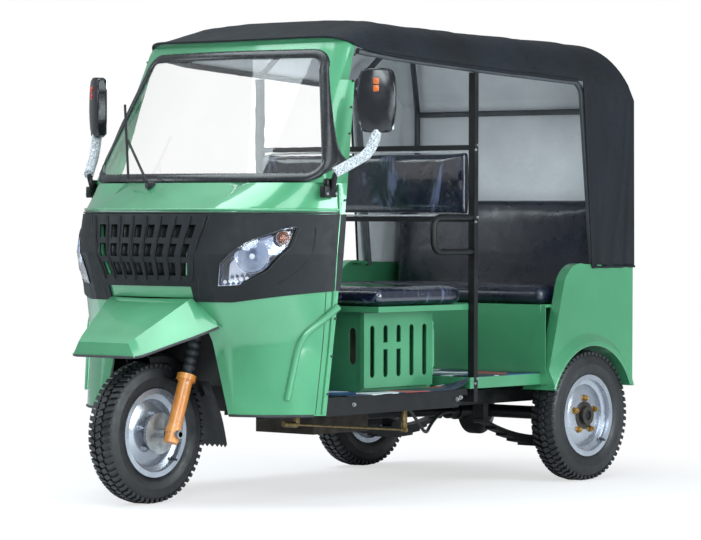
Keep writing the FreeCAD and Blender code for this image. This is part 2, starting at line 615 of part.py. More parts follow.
# Wheel house: the folded sheet tunnel behind the front wheel, open below and in front. The steering head
# stands in it, on a bent neck from the first cross member.
rake = math.radians(dims.Rake)
UP = V(0, math.sin(rake), math.cos(rake))
BACK = V(0, math.cos(rake), -math.sin(rake))
AXLE = V(0, 0, dims.TyreRadius)
PIVOT = AXLE + BACK * dims.ForkOffset
shoulder = dims.FloorTop + dims.HouseShoulder
wall = dims.SheetWall
house = prism_yz([(dims.HouseFrontLow, dims.CowlBottom), (dims.HouseRear, dims.CowlBottom),
                  (dims.HouseRear, shoulder), (dims.HouseKnee, dims.HouseTop),
                  (dims.HouseFrontTop, dims.HouseTop)], -dims.HouseHalf, dims.HouseHalf)
room = prism_yz([(0, opening_low), (dims.HouseRear - wall, opening_low),
                 (dims.HouseRear - wall, shoulder - 2), (dims.HouseKnee - wall, dims.HouseTop - wall),
                 (0, dims.HouseTop - wall)],
                -dims.HouseHalf + wall, dims.HouseHalf - wall)
house_zone = cab_core(rows_between(COWL, dims.CowlBottom, 900), dims.PanelWall + gap, behind_front)
head_low = PIVOT + UP * (dims.CrownHeight + dims.CrownThickness + dims.MovingGap)
head_high = PIVOT + UP * (dims.BarHeight - dims.HeadClearance)
head_room = rod(dims.HeadTubeRadius + gap, head_low - UP * dims.NeckRadius, head_high)
rail_low = dims.FloorTop - dims.FloorWall - dims.RailHeight - gap
first_cross = dims.HouseRear + dims.CrossSetback
neck_way = [V(0, first_cross + dims.RailWidth / 2, rail_low + dims.RailWidth / 2),
            V(0, dims.HouseRear + 30, dims.FloorTop + 40),
            head_low + (head_high - head_low) * 0.7 + BACK * 20]
neck_room = tube(neck_way, [dims.NeckBend], dims.NeckRadius + gap)
sub_part(formed("wheel_house", house.cut(room).common(house_zone).cut([head_room, neck_room])))

# Floors and skirts: sheet decks, one ahead of the step and one behind it, and the boards at their sides
post_in = "(SideHalf - PostWidth)"
post_rear = "(PostPlace + PostDepth)"
across = ("-HalfWidth", "HalfWidth")
floor_height = ("FloorTop - FloorWall", "FloorTop")
floor_rows = [between(COWL, dims.FloorTop - dims.FloorWall), between(COWL, dims.FloorTop)]
nose_floor = cab_core(floor_rows, dims.PanelWall + gap, dims.StepEdge)
nose_floor = nose_floor.common(box(-W, W, 0, dims.FloorStart, 0, dims.FloorTop))
deck_half = "SideHalf - SkirtWall - SeatGap"
deck = block("front_deck", (f"-({deck_half})", deck_half), ("FloorStart", "StepEdge - SeatGap"), floor_height)
house_hole = block("house_hole", ("-HouseHalf - SeatGap", "HouseHalf + SeatGap"),
                   ("0", "HouseRear + SeatGap"), ("0", "FloorTop + 1"))
engine_hole = block("engine_hole", ("-SeatBoxHalf + BoxFlange", "SeatBoxHalf - BoxFlange"),
                    ("SeatBoxFront + 20", "SeatBoxRear - 14"), ("0", "FloorTop + 1"))
whole_floor = joined("front_floor_sheet", formed("front_floor_nose", nose_floor), deck)
neck_hole = formed("front_floor_neck_hole", neck_room)
sub_part(less("front_floor", whole_floor, house_hole, engine_hole, neck_hole))

board_top = "FloorTop - SkirtDrop"
board_foot = "FloorTop - SkirtHeight"
board = padded("side_skirt_board", [
    ("FloorStart + SkirtInset", board_top), ("SkirtEnd", board_top), ("SkirtEnd - SkirtSlant", board_foot),
    ("FloorStart + SkirtInset", board_foot)], "SideHalf - SkirtWall", "SideHalf")
sub_part(pair("side_skirts", board))

canopy_edge = "(BeltHeight + ScuttleHeight + ScreenHeight + HeaderHeight + CanopyRise - CanopyDrop)"
rear_deck = block("rear_deck", ("-SideHalf", "SideHalf"), ("StepEdge", "QuarterFront - SeatGap"),
                  ("RearFloorTop - RearFloorWall", "RearFloorTop"))
post_hole = block("post_hole", (f"{post_in} - SeatGap", "SideHalf + 1"),
                  ("PostPlace - SeatGap", f"{post_rear} + SeatGap"), ("0", canopy_edge))
sub_part(less("rear_floor", rear_deck, post_hole, mirrored(post_hole)))

# Cab frame: the square posts behind the driver, two rails across and the outriggers at the feet
post_top = f"{canopy_edge} - RailDrop - HoopRadius - PostHeadroom"
post = block("cab_post", (post_in, "SideHalf"), ("PostPlace", post_rear), ("PostBottom", post_top))
outrigger = block("cab_outrigger", ("RailHalf + RailWidth / 2", "SideHalf"), ("PostPlace", post_rear),
                  ("PostBottom", "PostBottom + PostDepth"))
rails = [block(f"cab_rail_{name}", ("-SideHalf", "SideHalf"),
               (f"{post_rear} - RailSetback - RailSize", f"{post_rear} - RailSetback"),
               (f"{height} - RailSize / 2", f"{height} + RailSize / 2"))
         for name, height in (("low", "RailLow"), ("high", "RailHigh"))]
sub_part(joined("cab_frame", post, mirrored(post), outrigger, mirrored(outrigger), *rails))

# Grab handles: one bent tube ahead of each post
handle_x = dims.SideHalf - dims.PostWidth / 2
post_face = dims.PostPlace - gap
handle_front = dims.PostPlace - dims.HandleReach
grip = [V(handle_x, post_face, dims.HandleHigh), V(handle_x, handle_front, dims.HandleHigh),
        V(handle_x, handle_front, dims.HandleLow), V(handle_x, post_face, dims.HandleLow)]
sub_part(formed("grab_handles", both(tube(grip, [dims.HandleCorner] * 2, dims.HandleRadius))))

# Driver's seat: a hollow sheet box over the engine, open at the side behind a door, with two front slots
tray_low = "(TrayTop - TrayWall)"
door_rear = "(SeatBoxRear - DoorMargin)"
door_edge = f"({door_rear} - HingeSetback)"
door_front = f"({door_edge} - DoorLength)"
door_low = "(FloorTop + DoorFoot)"
door_high = f"({tray_low} - MovingGap)"
box_sheet = block("engine_box_sheet", ("-SeatBoxHalf", "SeatBoxHalf"), ("SeatBoxFront", "SeatBoxRear"),
                  ("FloorTop", tray_low))
box_room = block("engine_box_room", ("-SeatBoxHalf + SheetWall", "SeatBoxHalf - SheetWall"),
                 ("SeatBoxFront + SheetWall", "SeatBoxRear - SheetWall"),
                 ("FloorTop - 1", f"{tray_low} - SheetWall"))
doorway = block("engine_box_doorway", ("SeatBoxHalf - BoxFlange", "SeatBoxHalf + 1"),
                ("SeatBoxFront + BoxFlange", "SeatBoxRear - BoxFlange - 4"),
                (f"{door_low} + DoorHem", f"{door_high} - DoorHem"))


def upright_slot(name, way, middle, start, depth, width, low, high, round_low=True, round_high=True):
    """A slot through a sheet with round ends; way is the axis it is cut along."""
    half = f"{width} / 2"
    low_end = f"{low} + {half}" if round_low else low
    high_end = f"{high} - {half}" if round_high else high
    cross = (f"{middle} - {half}", f"{middle} + {half}")
    through = (start, f"{start} + {depth}")
    places = (through, cross) if way == "x" else (cross, through)
    parts = [block(name + "_middle", *places, (low_end, high_end))]
    for end, height, is_round in (("low", low_end, round_low), ("high", high_end, round_high)):
        if is_round:
            round_end = bar(f"{name}_{end}", half, depth, way)
            centre = (start, middle) if way == "x" else (middle, start)
            parts.append(placed(round_end, *centre, height))
    return joined(name, *parts)


box_slot = upright_slot("engine_box_slot", "y", "(SeatBoxHalf - BoxSlotInset)", "SeatBoxFront - 1",
                        "SheetWall + 2", "BoxSlotWidth", "BoxSlotLow", "BoxSlotHigh")
sub_part(less("engine_box", box_sheet, box_room, doorway, box_slot, mirrored(box_slot)))

# Access door: a pan-shaped sheet with upright slots, two of them bridged, on a knuckle and its pin
door_face = "(SeatBoxHalf + MovingGap)"
door_skin = f"({door_face} + DoorDepth)"
hinge_x = f"({door_face} + DoorDepth / 2)"
pan = block("door_pan", (door_face, door_skin), (door_front, door_edge), (door_low, door_high))
pan_room = block("door_pan_room", (f"{door_face} - 1", f"{door_skin} - DoorSheet"),
                 (f"{door_front} + DoorHem", f"{door_edge} - DoorHem"),
                 (f"{door_low} + DoorHem", f"{door_high} - DoorHem"))
WHOLE = (("DoorSlotLow", "DoorSlotHigh", True, True),)
BRIDGED = (("DoorSlotLow", "BridgeLow", True, False), ("BridgeHigh", "DoorSlotHigh", False, True))
door_slots = []
for number in range(int(dims.DoorSlots)):
    middle = f"({door_front} + DoorLength / 2 + ({number} - (DoorSlots - 1) / 2) * DoorSlotPitch)"
    for low, high, round_low, round_high in BRIDGED if number in (1, 2) else WHOLE:
        door_slots.append(upright_slot(f"door_slot_{len(door_slots)}", "x", middle, f"{door_face} - 1",
                                       "DoorDepth + 2", "DoorSlotWidth", low, high, round_low, round_high))
knuckle_height = (f"{door_low} + KnuckleInset", f"{door_high} - KnuckleInset")
knuckle = bar("door_knuckle", "HingeRadius + KnuckleWall", f"{knuckle_height[1]} - ({knuckle_height[0]})")
placed(knuckle, hinge_x, door_rear, knuckle_height[0])
leaf = block("door_leaf", (f"{hinge_x} - HingeLeaf / 2", f"{hinge_x} + HingeLeaf / 2"),
             (f"{door_edge} - 2", door_rear), knuckle_height)
pin_room = bar("door_pin_room", "HingeRadius + RunningGap", f"{door_high} - {door_low}")
placed(pin_room, hinge_x, door_rear, door_low)
door_sheet = joined("door_sheet", less("door_slotted", pan, pan_room, *door_slots), knuckle, leaf)
sub_part(less("engine_door", door_sheet, pin_room))

pin_low = f"({door_low} + PinInset)"
pin_high = f"({door_high} - PinInset)"
hinge_pin = placed(bar("hinge_pin", "HingeRadius", f"{pin_high} - {pin_low}"), hinge_x, door_rear, pin_low)
tabs = [block(f"hinge_tab_{name}", ("SeatBoxHalf + SeatGap", f"{hinge_x} + HingeLeaf"),
              (f"{door_rear} - HingeTabHalf", f"{door_rear} + HingeTabHalf"), (low, f"{low} + HingeTab"))
        for name, low in (("low", pin_low), ("high", f"{pin_high} - HingeTab"))]
sub_part(joined("door_hinge", hinge_pin, *tabs))

# Driver's tray, cushion and backrest
sub_part(block("seat_tray", ("-TrayHalf", "TrayHalf"), ("TrayFront", "PostPlace - SeatGap"),
               (f"{tray_low} + SeatGap", "TrayTop")))
sub_part(cushion("driver_cushion", ("-CushionHalf", "CushionHalf"),
                 ("TrayFront + CushionSetback", "PostPlace - CushionRearGap"),
                 ("TrayTop + SeatGap", "TrayTop + CushionHeight"), "CushionRound"))
rail_middle = f"({post_rear} - RailSetback - RailSize / 2)"
sub_part(cushion("driver_backrest", (f"-({post_in} - SeatGap)", f"{post_in} - SeatGap"),
                 (f"{rail_middle} - BackPadWall / 2", f"{rail_middle} + BackPadWall / 2"),
                 ("RailLow + RailSize / 2 + SeatGap", "RailHigh - RailSize / 2 - SeatGap"), "BackPadRound",
                 True))

# Dashboard: a shelf under the windscreen
dash_inset = dims.PanelWall + gap + dims.DashGap
dash_low = belt + dims.DashRise
dash_high = dash_low + dims.DashHeight
dash = cab_core(rows_between(COWL, dash_low, dash_high), dash_inset, behind_front)
dash_zone = box(-W, W, -dims.TyreRadius, dims.DashRear, dash_low, dash_high)
sub_part(formed("dashboard", dash.common(dash_zone)))

# Rear quarters: side panels with a flared wheel arch and an inner wheel tub
HUB = V(0, dims.WheelBase, dims.TyreRadius)
arch = HUB + V(0, dims.ArchSetback, 0)
REAR = dims.WheelBase + dims.RearOverhang
quarter_in = W - dims.QuarterWall
quarter_rear = REAR - dims.QuarterRear
return_in = W - dims.QuarterReturn
# The leaning front edge's corners, as (place, height), and the arc's middle between the last two.
FOOT, KNEE, SHOULDER, BULGE, CREST = (1719, 404), (1695, 458), (1794, 803), (1838, 866), (1935, 886)


def quarter_face(inset, x):
    """The panel's side outline in the plane x: a leaning front edge that curves over into the top."""
    foot = V(x, dims.QuarterFront + inset, FOOT[1])
    knee = V(x, dims.QuarterFront + inset, KNEE[1] - inset * 0.2)
    shoulder = V(x, SHOULDER[0] + inset, SHOULDER[1] - inset * 0.3)
    crest = V(x, CREST[0], dims.QuarterTop - inset)
    bulge = V(x, BULGE[0] + inset * 0.7, BULGE[1] - inset * 0.7)
    corners = [V(x, quarter_rear, dims.QuarterTop - dims.QuarterFall - inset),
               V(x, quarter_rear, dims.QuarterLow), V(x, FOOT[0], dims.QuarterLow)]
    edges = [line(foot, knee), line(knee, shoulder), arc(shoulder, bulge, crest), line(crest, corners[0]),
             line(corners[0], corners[1]), line(corners[1], corners[2]), line(corners[2], foot)]
    return Part.Face(Part.Wire(edges))


quarter = quarter_face(0, return_in).extrude(V(dims.QuarterReturn, 0, 0))
inner_wide = V(dims.QuarterReturn - dims.QuarterWall + PAST, 0, 0)
inner_room = quarter_face(dims.QuarterWall, return_in - PAST).extrude(inner_wide)
low_room = box(return_in - PAST, quarter_in, dims.QuarterFront + dims.QuarterWall, REAR,
               dims.QuarterLow - PAST, dims.QuarterLow + 120)
rear_room = box(return_in - PAST, quarter_in, dims.CurtainLow + dims.MovingGap, REAR,
                dims.QuarterLow - PAST, dims.QuarterTop + PAST)
flare_out = dims.ArchRadius + dims.FlareWidth
flare_x = W + dims.FlareProud
flare = lathe([(quarter_in, dims.ArchRadius), (quarter_in, flare_out), (W, flare_out),
               (flare_x, dims.ArchRadius + dims.FlareFall), (flare_x, dims.ArchRadius)], arch)
tub_in = (dims.TrackWidth - dims.TyreWidth) / 2 - dims.TubGap - wall
tub_out = dims.ArchRadius + wall
tub = lathe([(tub_in, 0), (tub_in, tub_out), (quarter_in, tub_out), (quarter_in, dims.ArchRadius),
             (tub_in + wall, dims.ArchRadius), (tub_in + wall, 0)], arch)
side_zone = W + 2 * dims.FlareProud
arch_span = box(0, side_zone, dims.QuarterFront, quarter_rear, dims.QuarterLow, dims.QuarterTop)
arch_hole = rod(dims.ArchRadius, V(tub_in + wall, arch.y, arch.z), V(side_zone, arch.y, arch.z))
quarter = quarter.cut([inner_room, low_room, rear_room])
quarter = quarter.fuse([flare.common(arch_span), tub.common(arch_span)]).cut(arch_hole)
sub_part(formed("rear_quarter_left", quarter))
sub_part(formed("rear_quarter_right", flipped(quarter)))

# Rear panel, bumper and tail lamps; a rack bolts on through the pair of holes
rear = "(WheelBase + RearOverhang)"
panel_rear = f"({rear} - QuarterRear)"
panel_half = "HalfWidth - QuarterWall - SeatGap"
panel = block("rear_panel_sheet", (f"-({panel_half})", panel_half),
              (f"{panel_rear} - QuarterWall", panel_rear), ("QuarterLow", "QuarterTop - QuarterFall"))
bumper = block("rear_bumper_bar", ("-HalfWidth + BumperInset", "HalfWidth - BumperInset"),
               (f"{panel_rear} + SeatGap", rear), ("QuarterLow", "QuarterLow + BumperHeight"))
rack_hole = placed(bar("rack_hole", "MountHole", "60 + 10", "y"), "MountSpread / 2", f"{rear} - 60",
                   "QuarterLow + BumperHeight / 2")
other_hole = mirrored(rack_hole)
sub_part(less("rear_panel", panel, rack_hole, other_hole))
sub_part(less("rear_bumper", bumper, rack_hole, other_hole))
tail_lamp = block("tail_lamp", ("HalfWidth - LampInset - LampWidth", "HalfWidth - LampInset"),
                  (f"{panel_rear} + SeatGap", f"{rear} - 1"), ("TailLampLow", "TailLampLow + LampHeight"))
sub_part(pair("tail_lamps", tail_lamp))

# Passenger bench: a pressed box, a cushion and a leaning backrest
bench_side = "(HalfWidth - QuarterReturn - SeatGap)"
bench_across = (f"-{bench_side}", bench_side)
base_front = block("bench_front", bench_across, ("QuarterFront", "QuarterFront + QuarterWall"),
                   ("RearFloorTop - RearFloorWall", "BenchTop"))
base_top = block("bench_top", bench_across, ("QuarterFront", f"{panel_rear} - QuarterWall - SeatGap"),
                 ("BenchTop - QuarterWall", "BenchTop"))
sub_part(joined("bench_base", base_front, base_top))
seat_rear = f"({panel_rear} - QuarterWall - BackrestWall - BackrestGap)"
sub_part(cushion("bench_cushion", ("-BenchHalf", "BenchHalf"), ("QuarterFront + BenchSetback", seat_rear),
                 ("BenchTop + SeatGap", "BenchTop + BenchCushion"), "CushionRound"))
rest_low = "BenchTop + SeatGap"
backrest = padded("bench_backrest", [
    (f"{seat_rear} + SeatGap", rest_low), (f"{seat_rear} + BackrestWall", rest_low),
    (f"{seat_rear} + BackrestWall + BackrestLean", "BackrestTop"),
    (f"{seat_rear} + BackrestLean", "BackrestTop")], "-BenchHalf", "BenchHalf")
doc.recompute()
sub_part(rounded(backrest, backrest.Tip, "BackrestRound",
                 [f"Edge{number}" for number in range(1, len(backrest.Shape.Edges) + 1)]))

# Canopy roof: the sheet over the bows, cut away in front along the header's curve
roof = canopy_shell(BOWS[:6], dims.CanopyWall)
lip_rows = [SCREEN[2]._replace(height=height) for height in roof_zone]
front_air = box(-W, W, 300, 640, *roof_zone).cut(cab_core(lip_rows, -dims.VisorReach, behind_front))
sub_part(formed("canopy_roof", roof.cut(front_air)))

# Rear canopy: the side curtains, the sloping corner and the plain rear curtain in one sheet
canvas = dims.CanopyWall
join = dims.CanopyJoin + gap
above_roof = top + 20
curtain_low = dims.QuarterTop + gap
curtain_rear = REAR - 2
slope_top = top - dims.BackSlopeDrop
rear_rows = (BOWS[5]._replace(place=dims.CurtainFront - 10), BOWS[5]._replace(place=REAR + 5))
curtain_line = [(dims.CurtainFront, edge_rear - PAST), (join, edge_rear - PAST), (join, above_roof),
                (dims.BackSlopeTop, above_roof), (dims.BackSlopeTop, slope_top),
                (curtain_rear, dims.BackSlopeLow), (curtain_rear, curtain_low),
                (dims.CurtainLow, curtain_low)]
hollow_front = dims.CurtainFront - 20
hollow_top = dims.BackSlopeTop - canvas / 2
hollow_rear = curtain_rear - canvas
hollow_line = [(hollow_front, curtain_low - PAST), (hollow_front, above_roof), (hollow_top, above_roof),
               (hollow_top, slope_top - canvas), (hollow_rear, dims.BackSlopeLow - canvas / 2),
               (hollow_rear, curtain_low - PAST)]
rear_solid = canopy_body(rear_rows, 0, 800).common(prism_yz(curtain_line, -W - PAST, W + PAST))
rear_hollow = canopy_body(rear_rows, canvas, 800).common(prism_yz(hollow_line, -W, W))
sub_part(formed("canopy_rear", rear_solid.cut(rear_hollow)))

# Roof frame: the side rails and the hoops under the sheet, and the rear uprights, welded tubes
radius = dims.HoopRadius
drop = canvas + radius + gap


def hoop(bow):
    """A tube across the cab, just under the sheet."""
    side = bow.edge_half - drop - dims.HoopInset
    shoulder = V(bow.shoulder_half - radius, bow.place, bow.shoulder_height - drop - 8)
    end = V(side, bow.place, bow.edge_height - dims.RailDrop)
    half = [shoulder, end]
    return tube([V(-point.x, point.y, point.z) for point in half[::-1]] + half, [90, 90], radius)


hoop_places = (BOWS[3], BOWS[4]._replace(place=dims.PostPlace + dims.PostDepth / 2),
               BOWS[5]._replace(place=dims.CanopyJoin - 60))
frame_parts = [hoop(bow) for bow in hoop_places]
side_x = W - drop - dims.HoopInset
post_x = BOWS[4].edge_half - drop - dims.HoopInset
cross_y = curtain_rear - drop
upright_x = dims.CanopyShoulder - 20
uprights = []
for side in (-1, 1):
    run = [V(side * (W - 112), 618, edge + 42), V(side * (W - 84), 791, edge + 23),
           V(side * post_x, dims.PostPlace, edge - dims.RailDrop),
           V(side * side_x, dims.CanopyJoin - 20, edge_rear - dims.RailDrop),
           V(side * side_x, dims.CurtainLow + 40, dims.QuarterTop - 20)]
    frame_parts.append(tube(run, [300, 300, 60], radius))
    upright = [V(side * upright_x, dims.CanopyJoin - 60 + radius + gap, top - 46 - drop - 8),
               V(side * upright_x, dims.BackSlopeTop - 20, top - 24 - drop - 30),
               V(side * dims.UprightHalf, cross_y, dims.BackSlopeLow - 20),
               V(side * dims.UprightHalf, cross_y, dims.QuarterTop - dims.QuarterFall + gap)]
    uprights.append(tube(upright, [60, 80], radius))
cross_start = V(-dims.UprightHalf, cross_y, dims.BackSlopeLow - 40)
uprights.append(rod(radius, cross_start, cross_start + V(2 * dims.UprightHalf, 0, 0)))
sub_part(formed("roof_frame", frame_parts[0].fuse(frame_parts[1:])))
sub_part(formed("rear_uprights", uprights[0].fuse(uprights[1:])))

# Chassis: two side rails, the cross members and the neck that carries the steering head
chassis_low = "(FloorTop - FloorWall - RailHeight - SeatGap)"
rail_in = "(RailHalf - RailWidth / 2)"
rail_out = "(RailHalf + RailWidth / 2)"
rail = block("chassis_rail", (rail_in, rail_out), ("RailStart", f"{rear} - RailWidth"),
             (chassis_low, "FloorTop - FloorWall - SeatGap"))
CROSSES = ("HouseRear + CrossSetback", "EngineFront - 70", f"{post_rear} + 20", "QuarterFront",
           f"{rear} - 80")
crosses = [block(f"cross_member_{number}", (f"-{rail_out}", rail_out), (place, f"{place} + RailWidth"),
                 (chassis_low, f"{chassis_low} + RailWidth")) for number, place in enumerate(CROSSES)]
head = formed("steering_head", rod(dims.HeadTubeRadius, head_low, head_high))
bearing_room = rod(dims.StemRadius + dims.RunningGap, head_low - UP * 50, head_high + UP * 50)
stem_room = formed("stem_room", bearing_room)
neck = formed("steering_neck", tube(neck_way, [dims.NeckBend], dims.NeckRadius))
welded = joined("chassis_welded", rail, mirrored(rail), *crosses, head, neck)
sub_part(less("chassis_frame", welded, stem_room))

# Engine and gearbox: one block on two arms between the rails
arm_height = (chassis_low, f"{chassis_low} + EngineArm")
engine_arms = [block(f"engine_arm_{name}", (f"-{rail_in} + SeatGap", f"{rail_in} - SeatGap"),
                     (place, f"{place} + EngineArm"), arm_height)
               for name, place in (("front", "EngineFront + 40"), ("rear", "EngineRear - 80"))]
sub_part(joined("engine", block("engine_block", ("-EngineHalf", "EngineHalf"), ("EngineFront", "EngineRear"),
                                ("EngineLow", "EngineTop")), *engine_arms))

# Rear axle: a tube with the differential, and a brake plate and a spindle at each end
axle_tip = "TrackWidth / 2 + HubReach"
plate_face = "TrackWidth / 2 - DiscOut - DrumDepth - MovingGap"
plate_radius = "DrumRadius - BackPlateInset"
axle_tube = turned("axle_tube", both_ways([
    (axle_tip, "0"), (axle_tip, "SpindleRadius"), (plate_face, "SpindleRadius"), (plate_face, plate_radius),
    (f"{plate_face} - BackPlateWall", plate_radius), (f"{plate_face} - BackPlateWall", "AxleTubeRadius")]))
placed(axle_tube, "0", "WheelBase", "TyreRadius")
banjo = turned("differential", both_ways([
    ("BanjoHalf", "0"), ("BanjoHalf", "BanjoNeck"), ("BanjoFlat", "BanjoRadius")]))
placed(banjo, "BanjoPlace", "WheelBase", "TyreRadius")
pinion = placed(bar("pinion_case", "PinionRadius", "PinionReach - PinionLap", "y"), "BanjoPlace",
                "WheelBase - PinionReach", "TyreRadius + PinionRise")
sub_part(joined("rear_axle", axle_tube, banjo, pinion))

# Propeller shaft: a slanting tube between two joints
shaft_front = V(0, dims.EngineRear + gap, dims.GearboxHeight)
shaft_rear = HUB + V(dims.BanjoPlace, -dims.PinionReach - gap, dims.PinionRise)
tube_inset = (shaft_rear - shaft_front) * 0.03
yoke = V(0, dims.ShaftYoke, 0)
shaft = rod(dims.ShaftRadius, shaft_front + tube_inset, shaft_rear - tube_inset)
front_joint = rod(dims.ShaftJoint, shaft_front, shaft_front + yoke)
rear_joint = rod(dims.ShaftJoint, shaft_rear - yoke, shaft_rear)
sub_part(formed("propeller_shaft", shaft.fuse([front_joint, rear_joint])))

# Leaf springs: a stack of curved leaves under the axle, each shorter than the one above, hung on shackles
bend = (dims.SpringFront ** 2 + dims.SpringSag ** 2) / (2 * dims.SpringSag)
spring_x = dims.SpringHalf - dims.SpringWidth / 2
stack_top = dims.SpringLow + dims.LeafCount * dims.LeafWall
arc_centre = V(spring_x, dims.WheelBase, stack_top + bend)


def on_leaf(reach, angle):
    return arc_centre + V(0, math.sin(angle) * reach, -math.cos(angle) * reach)


leaves = []
for number in range(int(dims.LeafCount)):
    share = 1 - dims.LeafStep * number
    inner = bend + number * dims.LeafWall
    outer = inner + dims.LeafWall
    fore = -dims.SpringFront * share / bend
    aft = dims.SpringRear * share / bend
    middle = (fore + aft) / 2
    ring = Part.Wire([arc(on_leaf(outer, fore), on_leaf(outer, middle), on_leaf(outer, aft)),
                      line(on_leaf(outer, aft), on_leaf(inner, aft)),
                      arc(on_leaf(inner, aft), on_leaf(inner, middle), on_leaf(inner, fore)),
                      line(on_leaf(inner, fore), on_leaf(outer, fore))])
    leaves.append(Part.Face(ring).extrude(V(dims.SpringWidth, 0, 0)))
main_leaf = bend + dims.LeafWall / 2
spring_out = spring_x + dims.SpringWidth
for end in (on_leaf(main_leaf, -dims.SpringFront / bend), on_leaf(main_leaf, dims.SpringRear / bend)):
    eye = end + V(0, 0, dims.EyeRise)
    leaves.append(rod(dims.EyeRadius, eye, eye + V(dims.SpringWidth, 0, 0)))
    leaves.append(box(spring_x, spring_out, end.y - dims.ShackleHalf, end.y + dims.ShackleHalf,
                      end.z + dims.EyeRadius / 2, rail_low - gap))
pad = box(spring_x, spring_out, HUB.y - dims.SpringPadHalf, HUB.y + dims.SpringPadHalf, stack_top - 3,
          HUB.z - dims.AxleTubeRadius * 0.8)
pad = pad.cut(rod(dims.AxleTubeRadius + gap, HUB, HUB + V(dims.TrackWidth / 2, 0, 0)))
sub_part(formed("leaf_springs", both(leaves[0].fuse(leaves[1:] + [pad]))))

# Exhaust: a silencer hung from the right rail, with its pipe from the engine
rail_face = -(dims.RailHalf - dims.RailWidth / 2)
silencer_x = rail_face + dims.SilencerRadius + dims.SilencerGap
silencer_front = V(silencer_x, dims.PostPlace + dims.PostDepth + dims.SilencerSetback, dims.SilencerHeight)
silencer_rear = silencer_front + V(0, dims.SilencerLength, 0)
lap = V(0, 10, 0)
pipe_start = V(-dims.EngineHalf - gap, dims.PipePlace, dims.PipeHeight)
pipe_corner = V(silencer_x, dims.PipePlace, dims.PipeHeight)
pipe_fall = V(silencer_x, dims.PipePlace + 80, dims.SilencerHeight)
front_pipe = tube([pipe_start, pipe_corner, pipe_fall, silencer_front + lap], [30, 60], dims.PipeRadius)
tail_pipe = tube([silencer_rear - lap, silencer_rear + V(0, 90, 0), silencer_rear + V(-40, 190, -30)], [80],
                 dims.PipeRadius)
hangers = []
hanger_x = silencer_x - 40
hanger_out = hanger_x + dims.HangerWall
hanger_top = rail_low + 10
for place in (silencer_front.y + 40, silencer_front.y + 300):
    width = (place, place + dims.HangerWidth)
    hangers.append(box(hanger_x, hanger_out, *width, silencer_front.z, hanger_top))
    hangers.append(box(rail_face + gap, hanger_out, *width, hanger_top - dims.HangerWall, hanger_top))
silencer = rod(dims.SilencerRadius, silencer_front, silencer_rear)
sub_part(formed("exhaust", silencer.fuse([front_pipe, tail_pipe] + hangers)))

# Mirrors: a rounded shell on a bent arm from the foot of each front pillar
shell = box(-dims.MirrorWidth / 2, dims.MirrorWidth / 2, -dims.MirrorDepth / 2, dims.MirrorDepth / 2, 0,
            dims.MirrorHeight)
edges = [each for each in shell.Edges if abs(each.tangentAt(each.FirstParameter).y) > 0.9]
shell = shell.makeFillet(dims.MirrorRound, edges)
shell_foot = V(dims.MirrorPlace, dims.MirrorBack, screen_low + dims.MirrorRise)
shell.Placement = FreeCAD.Placement(shell_foot, FreeCAD.Rotation(V(0, 0, 1), dims.MirrorYaw))
arm_foot = V(W + 2, 343, screen_low - 23)
elbow = shell_foot - V(4, 16, 69)
arm = tube([arm_foot, arm_foot + V(14, -8, 60), elbow, shell_foot + V(0, 0, 30)], [16, 40], dims.ArmRadius)
arm_base = rod(dims.ArmBase, arm_foot + V(-52, 25, -12), arm_foot)
belt_room = cab_core(rows_between(COWL, belt, screen_low), -gap, behind_front)
mirror = shell.fuse([arm, arm_base]).cut(belt_room)
sub_part(formed("mirror_left", mirror))
sub_part(formed("mirror_right", flipped(mirror)))

# Wiper: an arm and blade lying before the glass
pivot = V(-120, 150, screen_low - 10)
blade_middle = pivot + V(-170, 40, 170)
wiper_way = [pivot + V(0, 30, -4), pivot + V(0, -22, 8), blade_middle + V(0, 6, 7)]
wiper_arm = tube(wiper_way, [10], dims.WiperRadius)
blade = box(-dims.BladeWidth, dims.BladeWidth, -dims.BladeDepth, dims.BladeDepth, -dims.BladeHalf,
            dims.BladeHalf)
blade_turn = FreeCAD.Rotation(V(0, 0, 1), -dims.BladeYaw) * FreeCAD.Rotation(V(0, 1, 0), -dims.BladeTilt)
blade.Placement = FreeCAD.Placement(blade_middle, blade_turn)
sub_part(formed("wiper", wiper_arm.fuse(blade).cut(belt_room)))

# Front fork: lower legs, bellows, tubes, crown, stem and handlebar, all along the raked axis
leg = raked(bar("fork_leg", "LowerLegRadius", "LowerLegLength + LowerLegFoot"), "ForkHalf", "-LowerLegFoot")
cap = raked(bar("fork_leg_cap", "LegCapRadius", "LegCapHeight"), "ForkHalf", "LowerLegLength - LegCapHeight")
leg_hole = placed(bar("fork_leg_hole", "AxleRadius + SeatGap", "2 * ForkHalf", "x"), "0", "0", "TyreRadius")
sub_part(pair("fork_lowers", less("fork_lower", joined("fork_leg_solid", leg, cap), leg_hole)))

bellows_low = "LowerLegLength + SeatGap"
fold = "((CrownHeight - LowerLegLength - 2 * SeatGap) / GaiterRings)"
bellows = [("UpperLegRadius", bellows_low), ("GaiterRadius", bellows_low)]
for ring in range(int(dims.GaiterRings)):
    bellows.append(("GaiterRadius - GaiterFold", f"{bellows_low} + {ring + 0.5} * {fold}"))
    bellows.append(("GaiterRadius", f"{bellows_low} + {ring + 1} * {fold}"))
bellows.append(("UpperLegRadius", f"{bellows_low} + GaiterRings * {fold}"))
sub_part(pair("fork_gaiters", raked(turned("fork_gaiter", bellows, "XZ_Plane", "Z_Axis"), "ForkHalf", "0")))
leg_tube = bar("fork_tube", "UpperLegRadius - SeatGap", "CrownHeight - LowerLegLength - 2 * SeatGap")
sub_part(pair("fork_tubes", raked(leg_tube, "ForkHalf", bellows_low)))

